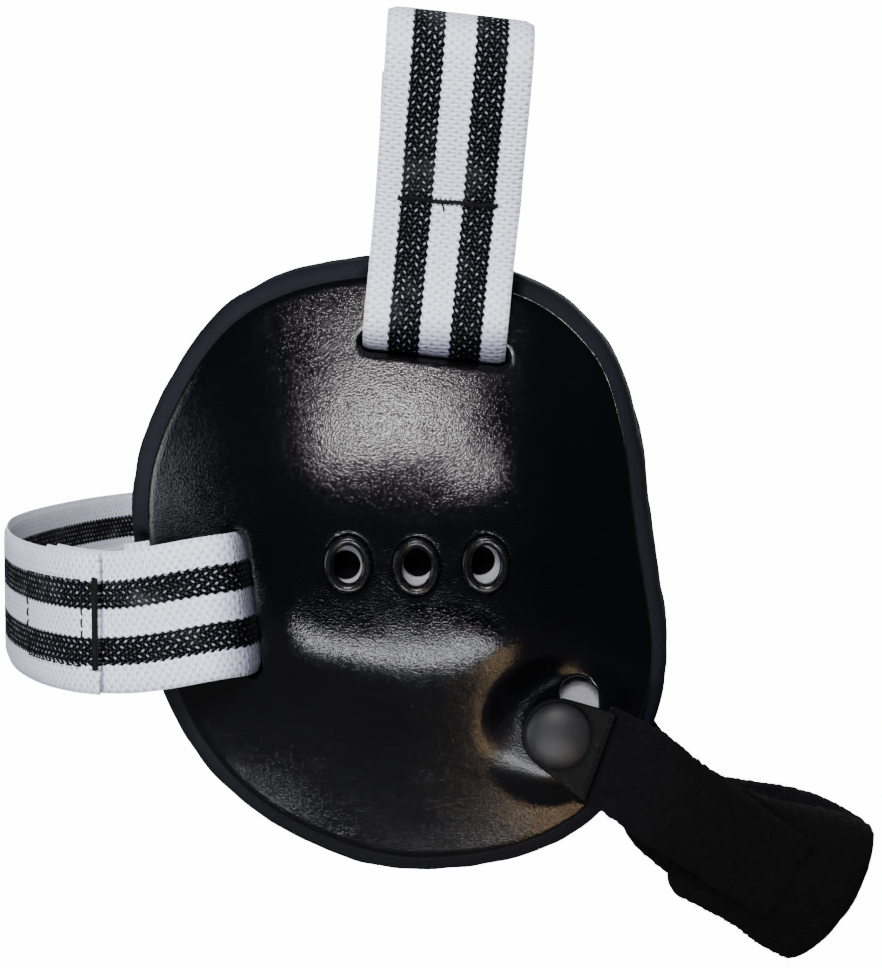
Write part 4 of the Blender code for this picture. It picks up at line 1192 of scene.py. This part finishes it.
def make_chin_strap(side, name):
    half = chin_half_line(side)
    share = np.linspace(0, 1, len(half))
    keep = share <= CHIN_STRAP_SHARE
    line = half[keep][::3]
    across = chin_across(share[keep][::3])
    obj = ribbon(f"{name}_chin_tape", side, line, across, CHIN_WIDTH, CHIN_THICK - 0.1, NAP, columns=26,
                 relief=nap_relief(20, 1.0), edge=nap_edge(31))
    lengths(line)[-1] * MM
    blend = (f"chin_{name}", f"{name}_snap", point(side, 47.0, 20, -41.5), point(side, 39.0, 20, -36.5))
    stands_for(obj, "loop_tape", blend, f"{name}_chin_strap")
    fuzz = add_fibres(obj, f"{name}_chin_tape_nap", 2600, 0.9, 0.035, 41 + side)
    stands_for(fuzz, "loop_tape", blend)

    _, _, out = frames_along(half, chin_across(share))
    inner = np.where(out[:, 1:2] > 0, -out, out)
    hook = half + inner * HOOK_OFFSET
    chosen = (share >= HOOK_SHARES[0]) & (share <= HOOK_SHARES[1])
    line, across = hook[chosen], chin_across(share[chosen][::4])
    obj = ribbon(f"{name}_hook_tape", side, line[::4], across, HOOK_WIDTH, 1.1, HOOK, columns=18,
                 relief=lambda x, y: 0.05 * np.cos(4 * x) * np.cos(4 * y))
    flat = (HOOK_WIDTH * MM, lengths(line)[-1] * MM)
    stands_for(obj, "hook_tape", blend, f"{name}_hook_strip")

    # thread that sews the tab over the strap's end
    face = np.array((0.0, 1.0, 0.0))
    direction = np.array(CHIN_ACROSS[0])
    start = np.array(CHIN_LINE[0]) + np.array((direction[2], 0, -direction[0])) * 0.9
    start[1] = SNAP_TOP + 1.25
    path = start + np.outer(np.linspace(-7.6, 7.6, 24), direction)
    pieces = stitches(path, face, 1.9, 0.17)
    stands_for(gather(f"{name}_tab_stitching", side, pieces, THREAD), "tab_webbing", f"{name}_snap")


def make_chin_pad():
    """The wide foam-cored pad, one closed piece that runs under the chin from side to side."""
    count = 600
    start = round(PAD_SHARE * count)
    share = (np.arange(start, count + 1) - start) / (count - start)
    width = CHIN_PAD_WIDTHS[0] + (CHIN_PAD_WIDTHS[1] - CHIN_PAD_WIDTHS[0]) * smooth(share * 1.15)
    thick = CHIN_PAD_THICK[0] + (CHIN_PAD_THICK[1] - CHIN_PAD_THICK[0]) * smooth(share * 1.5)
    lines, wides = [], []
    for side in (RIGHT, LEFT):
        half = chin_half_line(side, count)
        _, wide, out = frames_along(half, chin_across(np.linspace(0, 1, count + 1)))
        inner = np.where((out @ np.array((1.0, 1.0, -1.0)))[:, None] > 0, -out, out)
        lines.append(half[start:] + inner[start:] * (CHIN_THICK / 2 + GAP + thick / 2)[:, None])
        wides.append(wide[start:])
    # the left half is carried over to the right cup's coordinates and reversed
    left = lines[1][::-1] * (1, -1, 1) - (0, 2 * HALF_GAP, 0)
    line = np.vstack([lines[0][:-1], left[1:]])
    line[count - start] = 0.5 * (lines[0][-1] + left[0])
    wide = np.vstack([wides[0][:-1], (wides[1][::-1] * (1, -1, 1))[1:]])
    width, thick = (np.concatenate([half[:-1], half[::-1][1:]]) for half in (width, thick))
    for _ in range(60):
        line[1:-1] = (line[:-2] + 2 * line[1:-1] + line[2:]) / 4
        wide[1:-1] = (wide[:-2] + 2 * wide[1:-1] + wide[2:]) / 4
    line, wide, width, thick = (row[::4] for row in (line, wide, width, thick))
    share = np.abs(np.linspace(-1, 1, len(line)))
    from_end = 1 - share
    lower = CHIN_PAD_LOWER * smooth(from_end * 8) * (1 - smooth(from_end * 1.6))
    line = line - wide * (lower / 2)[:, None]
    _, _, out = frames_along(line, wide)
    towards = np.sign(out[len(out) // 2, 0])
    bow = towards * CHIN_PAD_BOW * smooth(from_end * 1.3) ** 2
    line = line + np.array((1.0, 0.0, -0.35)) * (CHIN_PAD_REACH * smooth(from_end * 1.3))[:, None]
    obj = ribbon("chin_pad_cloth", RIGHT, line, wide, width + lower, thick - 0.15, NAP, columns=34,
                 soft=1.6, relief=nap_relief(60, 1.6), edge=nap_edge(71), bow=bow)
    blend = ("chin_right", "chin_left", point(RIGHT, 0, -HALF_GAP + 33, 0), point(LEFT, 0, -HALF_GAP + 33, 0))
    stands_for(obj, "loop_tape", blend, "chin_pad")
    fuzz = add_fibres(obj, "chin_pad_nap", 6000, 1.0, 0.04, 77)
    stands_for(fuzz, "loop_tape", blend)


def make_tab(side, name):
    radius = SNAP_CAP_RADIUS + 0.7
    across = np.array((CHIN_ACROSS[0][0], CHIN_ACROSS[0][2]))
    along = np.array((across[1], -across[0]))
    start = np.array((CHIN_LINE[0][0], CHIN_LINE[0][2])) + along * 1.8
    top = start + across * (CHIN_WIDTH / 2 - 0.4)
    foot = start - across * (CHIN_WIDTH / 2 - 0.4)
    snap = np.array(SNAP)
    first = math.atan2(*(top - snap)[::-1]) + math.acos(radius / float(np.linalg.norm(top - snap)))
    final = math.atan2(*(foot - snap)[::-1]) - math.acos(radius / float(np.linalg.norm(foot - snap)))
    final += 2 * math.pi if final < first else 0
    arc = np.linspace(first, final, 30)
    corners = np.vstack([foot, top, snap + radius * np.column_stack([np.cos(arc), np.sin(arc)])])
    low, high = SNAP_TOP + 0.1, SNAP_TOP + 1.2
    obj = plate(f"{name}_tab", side, polygon_shape(corners, 0.5, 160), [oval(SNAP, (1.3, 1.3), 20)],
                lambda p: np.full(len(p), high), lambda p: np.full(len(p), low), TAB, roll=0.4, spacing=0.8)
    stands_for(obj, "tab_webbing", f"{name}_snap", f"{name}_chin_tab")


MAKERS = (
    make_shell, make_liner, make_vent_shade_sheet, make_ear_pad, make_eyelets, make_snap, make_crown, make_back,
    make_back_loop, make_chin_strap, make_tab,
)
for side, name in SIDES:
    for make in MAKERS:
        make(side, name)
make_chin_pad()


# ---------------------------------------------------------------- floor, light and camera
def stage_material():
    """Pale paper that looks white to the camera and lights nothing."""
    g = Graph("floor_paper")
    at = g.add("NewGeometry", "Position")
    g.finish(g.mix(g.noise(at, 2.0, 2.0), (0.050, 0.050, 0.052), (0.060, 0.060, 0.061)), 0.9)
    paper = Value(g, g.shader.outputs[0])
    glow = g.add("Emission", 0, {"Color": (1.0, 1.0, 1.0, 1.0), "Strength": WHITE})
    both = g.add("AddShader", 0, {0: paper, 1: glow})
    seen = g.add("LightPath", "Is Camera Ray")
    mixed = g.add("MixShader", 0, {0: seen, 1: paper, 2: both})
    g.plug(g.tree.nodes["Material Output"].inputs["Surface"], mixed)
    return g.material


def make_stage():
    s = FLOOR_HALF
    mesh = bpy.data.meshes.new("floor")
    corners = [(x, y, FLOOR_LEVEL) for x, y in ((-s, -s), (s, -s), (s, s), (-s, s))]
    mesh.from_pydata(corners, [], [(0, 1, 2, 3)])
    mesh.materials.append(stage_material())
    floor = bpy.data.objects.new("floor", mesh)
    bpy.context.scene.collection.objects.link(floor)
    world = bpy.data.worlds.new("studio")
    bpy.context.scene.world = world
    world.use_nodes = True
    tree = world.node_tree
    back = tree.nodes["Background"]
    bright = tree.nodes.new("ShaderNodeBackground")
    lit, white = (0.92, 0.95, 1.0, 1.0), (1.0, 1.0, 1.0, 1.0)
    for node, colour, strength in ((back, lit, 0.04), (bright, white, WHITE)):
        node.inputs["Color"].default_value = colour
        node.inputs["Strength"].default_value = strength
    seen = tree.nodes.new("ShaderNodeLightPath")
    mixed = tree.nodes.new("ShaderNodeMixShader")
    for k, output in enumerate((seen.outputs["Is Camera Ray"], back.outputs[0], bright.outputs[0])):
        tree.links.new(output, mixed.inputs[k])
    tree.links.new(mixed.outputs[0], tree.nodes["World Output"].inputs["Surface"])


def lamp(name, at, aim, size, power, colour=(1.0, 1.0, 1.0), roll=0.0, glossy=True):
    data = bpy.data.lights.new(name, "AREA")
    data.shape = "RECTANGLE"
    data.size, data.size_y = size
    data.energy = power
    data.color = colour
    obj = bpy.data.objects.new(name, data)
    bpy.context.scene.collection.objects.link(obj)
    obj.location = at
    obj.rotation_euler = (Vector(aim) - Vector(at)).to_track_quat("-Z", "Y").to_euler()
    obj.rotation_euler.rotate_axis("Z", math.radians(roll))
    obj.visible_camera = False
    obj.visible_glossy = glossy


def make_lights():
    cup = (0.0, -0.085, -0.085)
    lamp("key", (-0.045, -0.75, 0.39), cup, (0.22, 0.035), 4.2, (1.0, 0.99, 0.98))
    lamp("front", (-0.15, -0.75, 0.30), cup, (0.50, 0.30), 13.0, (1.0, 0.99, 0.98), glossy=False)
    lamp("low_left", (-0.155, -0.42, -0.325), cup, (0.18, 0.03), 0.85, (0.97, 0.98, 1.0), 35.0)
    lamp("low_right", (0.025, -0.42, -0.325), cup, (0.18, 0.03), 0.90, (0.97, 0.98, 1.0), -42.0)
    lamp("warm", (0.105, -0.250, -0.318), (0.005, -0.083, -0.12), (0.05, 0.035), 0.09, (1.0, 0.66, 0.36))
    lamp("side_left", (-1.0, -0.15, 0.0), (0, 0, -0.09), (0.4, 0.5), 3.0, (0.93, 0.96, 1.0))
    lamp("behind", (0.3, 0.95, 0.3), (0, 0, -0.08), (0.8, 0.6), 8.0)


def make_camera():
    """A long lens beside the cup, a few degrees above it."""
    data = bpy.data.cameras.new("camera")
    data.sensor_width = 36.0
    data.lens = LENS
    data.clip_start = 0.02
    obj = bpy.data.objects.new("camera", data)
    bpy.context.scene.collection.objects.link(obj)
    target = Vector(((7.45 - CROWN_FORWARD) * MM, -0.0705, (13.8 - CROWN_RISE) * MM))
    rise = math.radians(CAMERA_RISE)
    obj.location = target + Vector((0.0, -math.cos(rise) * CAMERA_AWAY, math.sin(rise) * CAMERA_AWAY))
    obj.rotation_euler = (target - obj.location).to_track_quat("-Z", "Y").to_euler()
    bpy.context.scene.camera = obj


make_stage()
make_lights()
make_camera()
